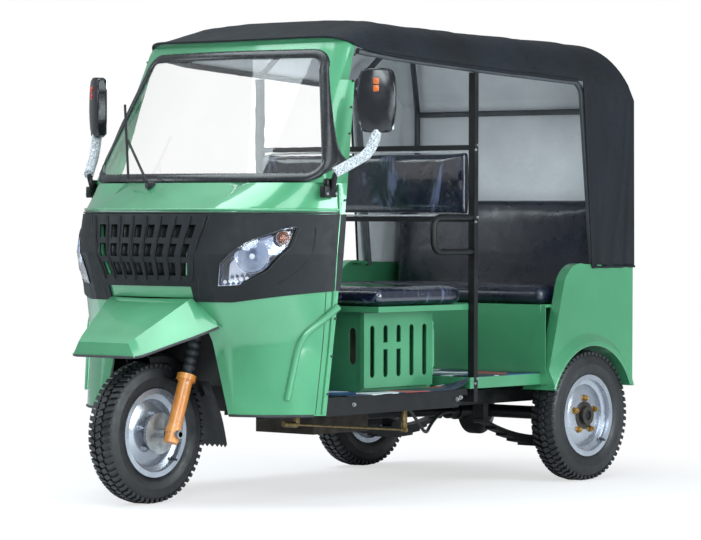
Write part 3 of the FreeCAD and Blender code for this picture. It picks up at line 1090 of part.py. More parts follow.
plate = doc.addObject("Part::Box", "fork_crown_plate")
bind(plate, Length="2 * (ForkHalf + CrownEnd)", Width="CrownDepth - CrownSetback + CrownEnd",
     Height="CrownThickness")
raked(plate, "-ForkHalf - CrownEnd", "CrownHeight", "-CrownEnd")
stem = bar("steering_stem", "StemRadius", "BarHeight - CrownHeight - 10")
clamp = bar("bar_clamp", "ClampRadius", "ClampLow + ClampHigh")
raked(stem, "0", "CrownHeight + 10", "ForkOffset")
raked(clamp, "0", "BarHeight - ClampLow", "ForkOffset")
sub_part(joined("fork_crown", plate, stem, clamp))

bar_middle = PIVOT + UP * (dims.BarHeight + dims.ClampHigh + dims.BarRadius + gap)
flat_end = V(dims.BarFlatHalf, bar_middle.y, bar_middle.z)
grip_start = V(dims.BarHalf - dims.GripLength, bar_middle.y + dims.BarSweep / 2, bar_middle.z + dims.BarRise)
grip_end = V(dims.BarHalf, bar_middle.y + dims.BarSweep, bar_middle.z)
left_half = [flat_end, grip_start, grip_end]
bar_way = [V(-point.x, point.y, point.z) for point in left_half[::-1]] + left_half
sub_part(formed("handlebar", tube(bar_way, [dims.BarBend] * 4, dims.BarRadius)))

# Front mudguard: a channel rolled round the tyre, on a strap to each leg
guard = turned("mudguard_channel", both_ways([
    ("GuardHalf - GuardRound", "GuardRadius"), ("GuardHalf", "GuardRadius - GuardShoulder"),
    ("GuardHalf", "GuardRadius - GuardSkirt"), ("GuardHalf - GuardWall", "GuardRadius - GuardSkirt"),
    ("GuardHalf - GuardWall", "GuardRadius - GuardShoulder - 1"),
    ("GuardHalf - GuardRound - 1", "GuardRadius - GuardWall")]), angle="GuardFront - GuardRear")
guard.Placement = FreeCAD.Placement(V(), FreeCAD.Rotation(V(1, 0, 0), dims.GuardRear))
bind(guard, Placement__Rotation__Angle="GuardRear")
placed(guard, "0", "0", "TyreRadius")
strap = doc.addObject("Part::Box", "mudguard_strap")
strap_start = "LowerLegLength - LegCapHeight"
bind(strap, Length="ForkHalf - LegCapRadius - SeatGap - GuardHalf + 2", Width="2 * StrapHalf",
     Height=f"GuardRadius - StrapDrop - ({strap_start})")
raked(strap, "GuardHalf - 2", strap_start, "-StrapHalf")
sub_part(joined("front_mudguard", guard, strap, mirrored(strap)))

# Mud flap: a rubber sheet hung behind the mudguard's rear end
flap_y = "(GuardRadius + SeatGap) * cos(GuardRear)"
flap_z = "TyreRadius + (GuardRadius + SeatGap) * sin(GuardRear)"
flap_tuck = f"{flap_y} - FlapTuck"
flap_foot = f"{flap_y} + FlapLean"
flap = padded("flap_sheet", [
    (flap_tuck, f"{flap_z} + FlapRise"), (f"{flap_tuck} + FlapWall", f"{flap_z} + FlapRise + 2"),
    (f"{flap_foot} + FlapWall", "FlapBottom"), (flap_foot, "FlapBottom")], "-FlapHalf", "FlapHalf")
guard_room = bar("flap_guard_room", "GuardRadius + SeatGap", "3 * FlapHalf", "x")
sub_part(less("mud_flap", flap, placed(guard_room, "-1.5 * FlapHalf", "0", "TyreRadius")))

# Front axle: a bar through both legs, a nut outside each, the brake plate and its spacer
axle_end = "(ForkHalf + LowerLegRadius + AxleEnd)"
plate_in = "(FrontHubHalf + MovingGap)"
nut_in = "(ForkHalf + LowerLegRadius + SeatGap)"


def axle_bar(name, radius, start, end):
    return placed(bar(name, radius, f"{end} - ({start})", "x"), start, "0", "TyreRadius")


axle = axle_bar("axle_bar", "AxleRadius", f"-{axle_end}", axle_end)
nut = axle_bar("axle_nut", "AxleNutRadius", nut_in, axle_end)
brake_plate = axle_bar("brake_plate", "BrakePlateRadius", plate_in, f"{plate_in} + BrakePlateWall")
spacer = axle_bar("axle_spacer", "SpacerRadius", plate_in, "ForkHalf - LowerLegRadius - SeatGap")
sub_part(joined("front_axle", axle, nut, mirrored(nut), brake_plate, spacer))


# Tyres: a carcass of flat facets with a plain middle rib and a row of tread blocks on each shoulder
def tyre_ring(place, reach, facets, toothed=False):
    """Corners of a section across the axle: a plain polygon, or one with a tooth for each tread block."""
    turn = 2 * math.pi / facets
    cut = dims.TreadGap / 2 / dims.TyreRadius
    root = dims.TyreRadius - 3 * dims.TreadDepth
    corners = []
    for number in range(int(facets)):
        start = turn * (number + 0.5)
        steps = [(start, reach)]
        if toothed:
            start = turn * (number + (0.25 if place > 0 else 0.75))
            end = start + turn
            steps = [(start + cut, root), (start + cut, reach), (end - cut, reach), (end - cut, root)]
        corners += [V(place, out * math.sin(angle), -out * math.cos(angle)) for angle, out in steps]
    return corners


def faceted(rings, closed):
    """A solid of flat facets between rings of corners; closed joins the last ring to the first."""
    loops = rings + rings[:1] if closed else rings
    faces = []
    for one, other in zip(loops, loops[1:]):
        for number, corner in enumerate(one):
            following = (number + 1) % len(one)
            facet = [corner, one[following], other[following], other[number], corner]
            faces.append(Part.Face(Part.makePolygon(facet)))
    if not closed:
        faces += [Part.Face(Part.makePolygon(ring + ring[:1])) for ring in (rings[0], rings[-1])]
    solid = Part.makeSolid(Part.makeShell(faces))
    if solid.Volume < 0:
        solid.reverse()
    return solid


def tyre():
    half = dims.TyreWidth / 2
    bead = dims.RimWidth / 2 - dims.RimWall - gap
    crown = dims.TyreRadius
    flat = 1 / math.cos(math.pi / dims.TyreFacets)
    inside_blocks = crown - 3 * dims.TreadDepth
    section = ((bead, (dims.BeadRadius + gap) * flat), (bead, dims.RimRadius + dims.BeadHeel),
               (half, dims.RimRadius + dims.WallHeight), (half - 2, crown - dims.ShoulderDrop),
               (half - dims.ShoulderInset, crown - dims.TreadDepth))
    whole_section = [(-place, reach) for place, reach in section] + list(section[::-1])
    shape = faceted([tyre_ring(place, reach, dims.TyreFacets) for place, reach in whole_section], True)
    for side in (-1, 1):
        row = [tyre_ring(side * place, reach, dims.TreadCount, True)
               for place, reach in ((dims.RibHalf, crown), (half - dims.BlockInset, crown - dims.BlockInset))]
        inside = rod(inside_blocks - dims.TreadDepth / 2, V(-half, 0, 0), V(half, 0, 0))
        shape = shape.fuse(faceted(row, False).cut(inside))
    rib = [tyre_ring(place, reach, dims.TyreFacets)
           for place, reach in ((-dims.RibHalf, crown * flat), (dims.RibHalf, crown * flat),
                                (dims.RibHalf, inside_blocks), (-dims.RibHalf, inside_blocks))]
    return shape.fuse(faceted(rib, True)).removeSplitter()


# Rims: a rolled barrel with a well, a dished disc and a ring of studs
def rim(name, bore):
    inner_seat = "BeadRadius - RimWall"
    inner_well = "WellRadius - RimWall"
    edge, inside = "RimWidth / 2", "RimWidth / 2 - RimWall"
    body = turned(name, both_ways([
        ("WellHalf", "WellRadius"), ("WellHalf + WellSlope", "BeadRadius"), (inside, "BeadRadius"),
        (inside, "RimRadius"), (edge, "RimRadius"), (edge, inner_seat),
        ("WellHalf + 1.5 * WellSlope", inner_seat), ("WellHalf + WellSlope / 2", inner_well)]))
    disc_edge = f"{inner_well} + DiscLap"
    turn_profile(body, name + "_disc", "XY_Plane", [
        ("DiscOut", bore), ("DiscOut + DiscWall", bore), ("DiscOut + DiscWall", "DiscKnee"),
        ("DiscOut - DiscDish", disc_edge), ("DiscOut - DiscDish - RimWall - DiscLap", disc_edge),
        ("DiscOut", "DiscKnee")], "X_Axis")
    stud = body.newObject("PartDesign::AdditiveCylinder", name + "_stud")
    stud.AttachmentSupport = (origin_feature(body, "YZ_Plane"), [""])
    stud.MapMode = "FlatFace"
    bind(stud, Radius="StudRadius", Height="StudReach", AttachmentOffset__Base__y="StudCircle",
         AttachmentOffset__Base__z="DiscOut + DiscWall - DiscLap")
    doc.recompute()
    ring = body.newObject("PartDesign::PolarPattern", name + "_studs")
    ring.Originals = [stud]
    ring.Axis = (origin_feature(body, "X_Axis"), [""])
    ring.Angle = 360
    bind(ring, Occurrences="StudCount")
    body.Tip = ring
    return body


rear_bore = "SpindleRadius + HubWall"


def rear_hub(name):
    """A hub whose drum is open towards the brake plate."""
    spindle = "SpindleRadius + RunningGap"
    barrel = f"{rear_bore} - SeatGap"
    drum_in = "DiscOut - DrumDepth"
    return turned(name, [
        (drum_in, spindle), ("DiscOut + HubReach - HubEnd", spindle), ("DiscOut + HubReach - HubEnd", barrel),
        ("DiscOut - SeatGap", barrel), ("DiscOut - SeatGap", "DiscKnee - 4"),
        ("DiscOut - HubEnd", "DrumRadius"), (drum_in, "DrumRadius"),
        (drum_in, "DrumRadius - DrumWall"), ("DiscOut - HubEnd", "DrumRadius - DrumWall - WellSlope"),
        ("DiscOut - HubEnd", rear_bore), (drum_in, f"{rear_bore} - 4")])


def front_hub(name):
    """A hub with the brake drum on its left side."""
    bore = "AxleRadius + RunningGap"
    drum_face = "DiscOut + DiscWall + SeatGap"
    return turned(name, [
        ("-FrontHubHalf", bore), ("FrontHubHalf", bore), ("FrontHubHalf", "FrontDrumRadius"),
        ("DiscOut + DiscWall + StudReach + FrontDrumSetback", "FrontDrumRadius"),
        (drum_face, "FrontDrumCone"), (drum_face, "FrontHubRadius"), ("-FrontHubHalf", "FrontHubRadius")])


# Wheels: the same tyre and rim for all three, with the disc towards the outside
tyre_shape = tyre()
Wheel = namedtuple("Wheel", "name across along hub bore")
WHEELS = (
    Wheel("front", "0", "0", front_hub, "FrontHubRadius + SeatGap"),
    Wheel("rear_left", "TrackWidth / 2", "WheelBase", rear_hub, rear_bore),
    Wheel("rear_right", "-TrackWidth / 2", "WheelBase", rear_hub, rear_bore),
)
for wheel in WHEELS:
    on_right = size(wheel.across) < 0
    shape = flipped(tyre_shape) if on_right else tyre_shape
    centre = V(size(wheel.across), size(wheel.along), dims.TyreRadius)
    sub_part(formed(f"{wheel.name}_tyre", shape.translated(centre)))
    for body in (rim(f"{wheel.name}_rim", wheel.bore), wheel.hub(f"{wheel.name}_hub")):
        body.Placement = FreeCAD.Placement(V(), FreeCAD.Rotation(V(0, 0, 1), 180 if on_right else 0))
        sub_part(placed(body, wheel.across, wheel.along, "TyreRadius"))

doc.recompute()
for obj in doc.Objects:
    if "Invalid" in obj.State or "Error" in obj.State:
        raise RuntimeError(f"{obj.Label}: {obj.State}")
for obj in NODES:
    if obj.Shape.isNull() or not obj.Shape.isValid() or not obj.Shape.Solids:
        raise RuntimeError(f"{obj.Label}: no valid solid")
os.makedirs("parts", exist_ok=True)
for obj in NODES:
    obj.Shape.exportStep(f"parts/{obj.Label}.step")
whole = Part.makeCompound([obj.Shape for obj in NODES]).BoundBox
print(f"{len(NODES)} sub-parts, X {whole.XMin:.2f} {whole.XMax:.2f}, Y {whole.YMin:.2f} {whole.YMax:.2f}, "
      f"Z {whole.ZMin:.2f} {whole.ZMax:.2f}")
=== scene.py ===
"""Looks of a three-wheeled passenger auto rickshaw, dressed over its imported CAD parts. Metres; +Z up; +X is
its left side and the front wheel points to -Y.

The sections follow the vehicle as it is put together: chassis, wheels, fork, cab, floors, seats, canopy."""

import math

import bmesh
import bpy
from mathutils import Matrix, Vector, noise as field


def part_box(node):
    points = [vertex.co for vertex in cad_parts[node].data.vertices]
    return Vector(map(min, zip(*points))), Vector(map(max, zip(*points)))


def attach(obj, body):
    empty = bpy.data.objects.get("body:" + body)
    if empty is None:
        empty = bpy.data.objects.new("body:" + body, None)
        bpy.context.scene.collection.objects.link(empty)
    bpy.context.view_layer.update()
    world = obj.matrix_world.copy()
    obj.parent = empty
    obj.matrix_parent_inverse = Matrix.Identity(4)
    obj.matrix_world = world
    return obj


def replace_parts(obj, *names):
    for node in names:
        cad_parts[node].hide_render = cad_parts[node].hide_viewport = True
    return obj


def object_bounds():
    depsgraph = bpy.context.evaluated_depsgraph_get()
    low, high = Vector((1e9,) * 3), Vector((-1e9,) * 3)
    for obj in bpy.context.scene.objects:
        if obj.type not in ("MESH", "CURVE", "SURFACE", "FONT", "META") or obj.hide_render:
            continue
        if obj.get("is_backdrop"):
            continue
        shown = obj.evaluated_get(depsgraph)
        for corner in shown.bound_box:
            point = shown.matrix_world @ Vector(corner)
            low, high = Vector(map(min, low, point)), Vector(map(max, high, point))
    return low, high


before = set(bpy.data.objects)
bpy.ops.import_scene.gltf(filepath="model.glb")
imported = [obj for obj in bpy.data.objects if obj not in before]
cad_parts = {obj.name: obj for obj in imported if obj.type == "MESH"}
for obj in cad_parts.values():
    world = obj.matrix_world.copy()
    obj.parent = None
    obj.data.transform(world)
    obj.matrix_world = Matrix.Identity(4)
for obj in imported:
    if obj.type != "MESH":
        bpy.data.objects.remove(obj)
cad_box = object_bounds()
scene = bpy.context.scene
MM = 0.001


# Studio: a pale painted board floor under soft lamps, with a white surround.
# Away from the vehicle the board runs out to plain white; it isn't part of the vehicle.
def linear(hexa):
    """A colour written as sRGB hex, as the linear values that a shader takes."""
    values = [int(hexa[i:i + 2], 16) / 255 for i in (1, 3, 5)]
    return [v / 12.92 if v <= 0.04045 else ((v + 0.055) / 1.055) ** 2.4 for v in values] + [1.0]


def add_node(tree, kind, inputs, to=None, stops=(), **settings):
    """A shader node with its settings and links. An input takes a value, an output socket, or a node for its
    first output; to is a socket that the new node's first output feeds. Each stop of a ramp is its place
    and a hex colour or grey level."""
    new = tree.nodes.new("ShaderNode" + kind)
    for name, value in settings.items():
        setattr(new, name, value)
    for name, value in inputs.items():
        if isinstance(value, bpy.types.Node):
            value = value.outputs[0]
        if isinstance(value, bpy.types.NodeSocket):
            tree.links.new(value, new.inputs[name])
        else:
            new.inputs[name].default_value = value
    for number, (place, value) in enumerate(stops):
        elements = new.color_ramp.elements
        element = elements[number] if number < len(elements) else elements.new(1.0)
        element.position = place
        element.color = linear(value) if isinstance(value, str) else (value, value, value, 1)
    if to is not None:
        tree.links.new(new.outputs[0], to)
    return new


def start_material(name, **values):
    """A material with its main shader's sockets set; underscores in a name stand for spaces."""
    material = bpy.data.materials.new(name)
    material.use_nodes = True
    shader = material.node_tree.nodes["Principled BSDF"]
    for socket, value in values.items():
        shader.inputs[socket.replace("_", " ")].default_value = value
    return material, material.node_tree, shader.inputs


FLOOR_HALF = 40.0
board, tree, surface = start_material("matt_white_board", Roughness=0.9)
grain = add_node(tree, "TexNoise", {"Scale": 9.0, "Detail": 3.0})
add_node(tree, "MixRGB", {"Fac": grain, "Color1": linear("#EFF0F1"), "Color2": linear("#F6F7F8")},
         surface["Base Color"])
ray = add_node(tree, "LightPath", {})
from_middle = add_node(tree, "VectorMath", {0: add_node(tree, "TexCoord", {}).outputs["Object"]},
                       operation="LENGTH")
far = add_node(tree, "MapRange", {"Value": from_middle.outputs["Value"], "From Min": 1.2, "From Max": 2.6,
                                  "To Min": 0.62, "To Max": 1.0}, interpolation_type="SMOOTHSTEP")
seen = add_node(tree, "Math", {0: ray, 1: ray.outputs["Is Transmission Ray"]}, operation="MAXIMUM")
share = add_node(tree, "Math", {0: far, 1: seen}, operation="MULTIPLY")
glow = add_node(tree, "Emission", {"Color": (1, 1, 1, 1), "Strength": 1.0})
add_node(tree, "MixShader", {0: share, 1: tree.nodes["Principled BSDF"], 2: glow},
         tree.nodes["Material Output"].inputs["Surface"])
bm = bmesh.new()
bmesh.ops.create_grid(bm, x_segments=1, y_segments=1, size=FLOOR_HALF)
mesh = bpy.data.meshes.new("studio_floor")
bm.to_mesh(mesh)
bm.free()
floor = bpy.data.objects.new("studio_floor", mesh)
scene.collection.objects.link(floor)
mesh.materials.append(board)
floor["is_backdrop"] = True

world = bpy.data.worlds.new("white_surround")
scene.world = world
world.use_nodes = True
sky = world.node_tree
sky.nodes.clear()
ray = add_node(sky, "LightPath", {})
seen = add_node(sky, "Math", {0: ray, 1: ray.outputs["Is Transmission Ray"]}, operation="MAXIMUM")
dim = add_node(sky, "Background", {"Color": linear("#DDE4EA"), "Strength": 0.48})
white = add_node(sky, "Background", {"Color": (1, 1, 1, 1), "Strength": 1.0})
add_node(sky, "OutputWorld", {"Surface": add_node(sky, "MixShader", {0: seen, 1: dim, 2: white})})

# Each lamp: place, what it points at, size across and up, power in watts.
LAMPS = (
    ("front_softbox", (4.6, -6.8, 4.2), (0.0, -0.6, 0.8), 3.2, 2.4, 260),
    ("side_softbox", (7.2, 1.2, 2.3), (0.0, 0.3, 0.8), 4.0, 2.6, 400),
    ("top_softbox", (-1.5, -1.5, 6.5), (0.0, 0.0, 0.9), 5.0, 5.0, 400),
    ("sky_softbox", (3.9, -1.7, 4.6), (0.2, -1.1, 0.65), 2.2, 2.2, 70),
    ("entry_softbox", (5.2, -3.0, 1.4), (0.2, 0.5, 0.6), 1.6, 1.2, 45),
    ("far_softbox", (-6.0, -5.0, 3.6), (0.0, -0.4, 0.9), 3.5, 3.0, 130),
)
COOL_WHITE = (0.86, 0.96, 1.0)
for name, place, target, wide, high, power in LAMPS:
    lamp = bpy.data.lights.new(name, "AREA")
    lamp.shape = "RECTANGLE"
    lamp.size = wide
    lamp.size_y = high
    lamp.energy = power
    lamp.color = COOL_WHITE
    lamp_object = bpy.data.objects.new(name, lamp)
    turn = (Vector(target) - Vector(place)).to_track_quat("-Z", "Y").to_matrix().to_4x4()
    lamp_object.matrix_world = Matrix.Translation(place) @ turn
    scene.collection.objects.link(lamp_object)

# Camera: fitted to the photograph, level with the belt line and 40 degrees round from the front.
# Its shift puts the vehicle in the frame where the photograph has it.
CAMERA_PLACE = Vector((8.4188, -9.8953, 1.0996))
CAMERA_TURN = math.radians(40.418)
CAMERA_RISE = math.radians(1.322)
CAMERA_ROLL = math.radians(0.125)
PIXELS_WIDE = 701
FOCAL_PIXELS = 3259.2
SENSOR_WIDE = 36
CENTRE_SHIFT = (30.4 / PIXELS_WIDE, 16.3 / PIXELS_WIDE)
back = Vector((math.sin(CAMERA_TURN) * math.cos(CAMERA_RISE), -math.cos(CAMERA_TURN) * math.cos(CAMERA_RISE),
               math.sin(CAMERA_RISE)))
right = Vector((math.cos(CAMERA_TURN), math.sin(CAMERA_TURN), 0))
up = back.cross(right)
level_right = right * math.cos(CAMERA_ROLL) + up * math.sin(CAMERA_ROLL)
level_up = up * math.cos(CAMERA_ROLL) - right * math.sin(CAMERA_ROLL)
lens = bpy.data.cameras.new("camera")
lens.sensor_width = SENSOR_WIDE
lens.lens = FOCAL_PIXELS * SENSOR_WIDE / PIXELS_WIDE
lens.shift_x, lens.shift_y = CENTRE_SHIFT
lens.clip_end = 100
camera = bpy.data.objects.new("camera", lens)
axes = Matrix((level_right, level_up, back)).transposed().to_4x4()
camera.matrix_world = Matrix.Translation(CAMERA_PLACE) @ axes
scene.collection.objects.link(camera)
scene.camera = camera
scene.view_settings.view_transform = "Standard"


# Chassis and running gear: welded box rails and tubes under sprayed black chassis enamel.
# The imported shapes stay; the enamel is satin on top and dull brown where road dust sits.
FRONT_AXLE_Y = 1009.5


def at(x, y, z):
    """A place in millimetres, with y from the front axle, in the frame's metres."""
    return Vector((x, y - FRONT_AXLE_Y, z)) * MM


def coat(material, *nodes):
    """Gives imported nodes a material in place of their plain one."""
    for node in nodes:
        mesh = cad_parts[node].data
        mesh.materials.clear()
        mesh.materials.append(material)


def link_piece(name, mesh, body, *materials):
    """An object of the vehicle that rides on a body."""
    piece = bpy.data.objects.new(name, mesh)
    scene.collection.objects.link(piece)
    for material in materials:
        mesh.materials.append(material)
    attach(piece, body)
    return piece


def add_piece(name, bm, body, *materials, sharp=32):
    """A piece from a bmesh, smooth except over edges sharper than that angle."""
    bm.normal_update()
    limit = math.radians(sharp)
    for face in bm.faces:
        face.smooth = True
    for edge in bm.edges:
        edge.smooth = len(edge.link_faces) != 2 or edge.calc_face_angle(0) < limit
    mesh = bpy.data.meshes.new(name)
    bm.to_mesh(mesh)
    bm.free()
    return link_piece(name, mesh, body, *materials)


def merged_copy(node):
    """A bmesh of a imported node, with its loose triangles joined."""
    bm = bmesh.new()
    bm.from_mesh(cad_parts[node].data)
    bmesh.ops.remove_doubles(bm, verts=bm.verts, dist=0.02 * MM)
    return bm


def smooth_copy(node, name, body, material, sharp=32):
    """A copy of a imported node, shaded smooth over its curves, that stands for the node."""
    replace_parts(add_piece(name, merged_copy(node), body, material, sharp=sharp), node)


def vary(tree, socket, scale, detail, stops, rough=0.55):
    """Feeds a socket with colours or grey levels that vary over grains of about 1/scale of a metre."""
    grains = add_node(tree, "TexNoise", {"Vector": add_node(tree, "TexCoord", {}).outputs["Object"],
                                         "Scale": scale, "Detail": detail, "Roughness": rough})
    return add_node(tree, "ValToRGB", {"Fac": grains}, socket, stops)


def roughen(tree, surface, scale, depth, strength=1.0):
    """Gives a surface relief of a depth in metres over grains of about 1/scale of a metre."""
    grains = add_node(tree, "TexNoise", {"Vector": add_node(tree, "TexCoord", {}).outputs["Object"],
                                         "Scale": scale, "Detail": 2, "Roughness": 0.55})
    add_node(tree, "Bump", {"Height": grains, "Distance": depth, "Strength": strength}, surface["Normal"])


black_enamel, tree, surface = start_material("black_chassis_enamel", IOR=1.5, Specular_IOR_Level=0.3)
vary(tree, surface["Base Color"], 14, 6, ((0.35, "#08090A"), (0.62, "#101112"), (0.8, "#2A2621")), 0.65)
vary(tree, surface["Roughness"], 14, 6, ((0.3, 0.28), (0.7, 0.55)), 0.65)
roughen(tree, surface, 260, 0.0004)
coat(black_enamel, "chassis_frame", "rear_axle", "propeller_shaft", "leaf_springs", "exhaust", "fork_crown",
     "front_mudguard", "wheel_house", "side_skirts", "front_floor", "rear_bumper")
smooth_copy("cab_frame", "cab_posts", "cab", black_enamel)
smooth_copy("grab_handles", "grab_tubes", "cab", black_enamel)


# Brake gear: a plated pull rod and its yokes on the left rail, with a return hose behind the wheel house.
# The zinc plating is yellowed, so it shows brown and dull beside the black rail.
def finish(name, grain, colours, gloss, relief, **values):
    """A material: two colours over grains of 1/grain metres, gloss from one level to another over the
    second grain, and relief of a scale and depth."""
    material, tree, surface = start_material(name, **values)
    vary(tree, surface["Base Color"], grain, 5, ((0.32, colours[0]), (0.68, colours[1])))
    vary(tree, surface["Roughness"], gloss[0], 4, ((0.3, gloss[1]), (0.7, gloss[2])))
    roughen(tree, surface, relief[0], relief[1], 0.7)
    return material


def round_edges(bm, edges, radius, segments=1):
    """Rounds edges of a bmesh to a radius in millimetres."""
    bmesh.ops.bevel(bm, geom=edges, offset=radius * MM, segments=segments, profile=0.5, affect="EDGES",
                    material=-1)


def rounded_block(bm, low, high, radius, segments=2):
    """A box between two places with its edges rounded, added to a bmesh."""
    shape = Matrix.Translation((low + high) / 2) @ Matrix.Diagonal((*(high - low), 1))
    made = bmesh.ops.create_cube(bm, size=1, matrix=shape)
    round_edges(bm, list({edge for vert in made["verts"] for edge in vert.link_edges}), radius, segments)


def rod_between(bm, start, end, radius, sides=16):
    """A capped round bar between two places, with its radius in millimetres, added to a bmesh."""
    way = end - start
    turn = way.to_track_quat("Z", "Y").to_matrix().to_4x4()
    bmesh.ops.create_cone(bm, cap_ends=True, segments=sides, radius1=radius * MM, radius2=radius * MM,
                          depth=way.length, matrix=Matrix.Translation((start + end) / 2) @ turn)


def live_mesh(thing):
    """A new mesh of an object as its curve or modifiers leave it."""
    return bpy.data.meshes.new_from_object(thing.evaluated_get(bpy.context.evaluated_depsgraph_get()))


def wire(name, points, radius, body, material, closed=False):
    """A round bar or rolled edge along a smooth path, with its radius in millimetres."""
    curve = bpy.data.curves.new(name, "CURVE")
    curve.dimensions = "3D"
    curve.bevel_depth = radius * MM
    curve.bevel_resolution = 3
    curve.use_fill_caps = True
    spline = curve.splines.new("NURBS")
    spline.points.add(len(points) - 1)
    for knot, point in zip(spline.points, points):
        knot.co = (*point, 1)
    spline.use_endpoint_u = not closed
    spline.use_cyclic_u = closed
    spline.order_u = 3
    spline.resolution_u = 6
    path = bpy.data.objects.new(name + "_path", curve)
    scene.collection.objects.link(path)
    bpy.context.view_layer.update()
    mesh = live_mesh(path)
    bpy.data.objects.remove(path)
    bpy.data.curves.remove(curve)
    bm = bmesh.new()
    bm.from_mesh(mesh)
    bpy.data.meshes.remove(mesh)
    bmesh.ops.remove_doubles(bm, verts=bm.verts, dist=0.01 * MM)
    bmesh.ops.recalc_face_normals(bm, faces=bm.faces)
    add_piece(name, bm, body, material, sharp=40)


yellow_zinc = finish("yellowed_zinc_plate", 60, ("#6B5836", "#94815A"), (40, 0.35, 0.6), (500, 0.0002),
                     Metallic=0.8)
rubber = finish("black_rubber", 18, ("#1E1F22", "#303236"), (40, 0.42, 0.62), (500, 0.0003), IOR=1.5)
ROD_X = 335
BRAKE_HOSE = ((300, 1180, 330), (300, 1250, 260), (270, 1340, 205), (210, 1440, 230), (150, 1560, 262),
              (90, 1700, 275), (60, 1850, 262))
bm = bmesh.new()
rod_between(bm, at(ROD_X, 420, 292), at(ROD_X, 1120, 236), 4)
rod_between(bm, at(ROD_X, 395, 294), at(ROD_X, 470, 288), 11)
rod_between(bm, at(ROD_X - 13, 1120, 236), at(ROD_X + 13, 1120, 236), 9)
for y, z in ((470, 290), (1120, 240)):
    rounded_block(bm, at(ROD_X - 8, y - 12, z - 8), at(ROD_X + 8, y + 12, 326), 2)
add_piece("brake_pull_rod", bm, "cab", yellow_zinc)
wire("brake_hose", [at(*point) for point in BRAKE_HOSE], 7, "cab", rubber)

# Engine: the engine and its gearbox as one plain block under the driver's seat, on arms between the rails.
# It is cast iron with a rough skin, dull brown-grey under a film of oil and dust.
cast_iron = finish("cast_iron", 25, ("#26221E", "#4B423A"), (50, 0.5, 0.75), (300, 0.0006), Metallic=0.5)
coat(cast_iron, "engine")


# Tyres: ribbed cross-ply rubber with a row of lugs on each shoulder and short blocks along the middle.
# Moulded black rubber is dull on the tread and a little shinier on the walls, where it is dressed.
def add_part(bm, part):
    """Moves a part's faces into the bmesh of a whole piece."""
    mesh = bpy.data.meshes.new("part")
    part.to_mesh(mesh)
    part.free()
    bm.from_mesh(mesh)
    bpy.data.meshes.remove(mesh)


def repeat_round(bm, part, centre, number):
    """Repeats a tread block round the axle and adds the row to a tyre's bmesh."""
    bmesh.ops.spin(part, geom=part.verts[:] + part.edges[:] + part.faces[:], cent=centre, axis=ACROSS,
                   angle=2 * math.pi * (number - 1) / number, steps=number - 1, use_duplicate=True)
    bmesh.ops.recalc_face_normals(part, faces=part.faces)
    add_part(bm, part)


tyre_rubber = finish("tyre_rubber", 20, ("#101113", "#1B1C1F"), (30, 0.36, 0.6), (350, 0.0003), IOR=1.5)
TYRE_RADIUS = 267
LUGS = 60
# A lug's inner and outer ends: across from the middle, width, lean, and its foot and top above the axle.
LUG_INNER = (20, 17, -5, 252, 266.6)
LUG_OUTER = (51.5, 15, 5, 246, 260.5)
MIDDLE_BLOCK = (26 * MM, 20 * MM, 10 * MM, 1)
MIDDLE_BLOCK_OUT = 261.5
MIDDLE_BLOCK_TURN = math.radians(24)
# The section from one bead to the crown: across and out from the axle, in millimetres.
TYRE_SECTION = ((41, 152.5), (41, 168), (46, 172), (53, 190), (55, 206), (55.5, 208), (55.5, 213),
                (54.8, 215), (53.5, 232), (51, 242), (46, 250), (34, 255.5), (18, 257), (0, 257.5))
TRACK_HALF = 580
WHEELBASE = 1960
WHEELS = (("front", "front_wheel", 0, 0), ("rear_left", "rear_wheel_left", TRACK_HALF, WHEELBASE),
          ("rear_right", "rear_wheel_right", -TRACK_HALF, WHEELBASE))
ACROSS = Vector((1, 0, 0))
for wheel, body, x, y in WHEELS:
    centre = at(x, y, TYRE_RADIUS)
    section = TYRE_SECTION + tuple((-a, r) for a, r in TYRE_SECTION[-2::-1])
    bm = bmesh.new()
    ring = [bm.verts.new(centre + Vector((a * MM, 0, r * MM))) for a, r in section]
    edges = [bm.edges.new(pair) for pair in zip(ring, ring[1:] + ring[:1])]
    bmesh.ops.spin(bm, geom=ring + edges, cent=centre, axis=ACROSS, angle=2 * math.pi, steps=96,
                   use_merge=True)
    bmesh.ops.remove_doubles(bm, verts=bm.verts, dist=0.05 * MM)
    bmesh.ops.recalc_face_normals(bm, faces=bm.faces)
    for side in (-1, 1):
        lug = bmesh.new()
        bmesh.ops.create_cube(lug, size=1)
        for vert in lug.verts:
            across, wide, lean, foot, top = LUG_OUTER if vert.co.x > 0 else LUG_INNER
            out = top if vert.co.z > 0 else foot
            vert.co = Vector((side * across, vert.co.y * wide + lean, out)) * MM
        round_edges(lug, lug.edges[:], 1.5)
        stagger = Matrix.Rotation(side * math.pi / 2 / LUGS, 3, "X")
        bmesh.ops.rotate(lug, verts=lug.verts, cent=(0, 0, 0), matrix=stagger)
        bmesh.ops.translate(lug, verts=lug.verts, vec=centre)
        repeat_round(bm, lug, centre, LUGS)
    block = bmesh.new()
    foot = Matrix.Translation(centre + Vector((0, 0, MIDDLE_BLOCK_OUT * MM)))
    turned = foot @ Matrix.Rotation(MIDDLE_BLOCK_TURN, 4, "Z")
    bmesh.ops.create_cube(block, size=1, matrix=turned @ Matrix.Diagonal(MIDDLE_BLOCK))
    round_edges(block, block.edges[:], 1.2)
    repeat_round(bm, block, centre, LUGS)
    tyre = add_piece(wheel + "_tyre_moulding", bm, body, tyre_rubber)
    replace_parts(tyre, wheel + "_tyre")

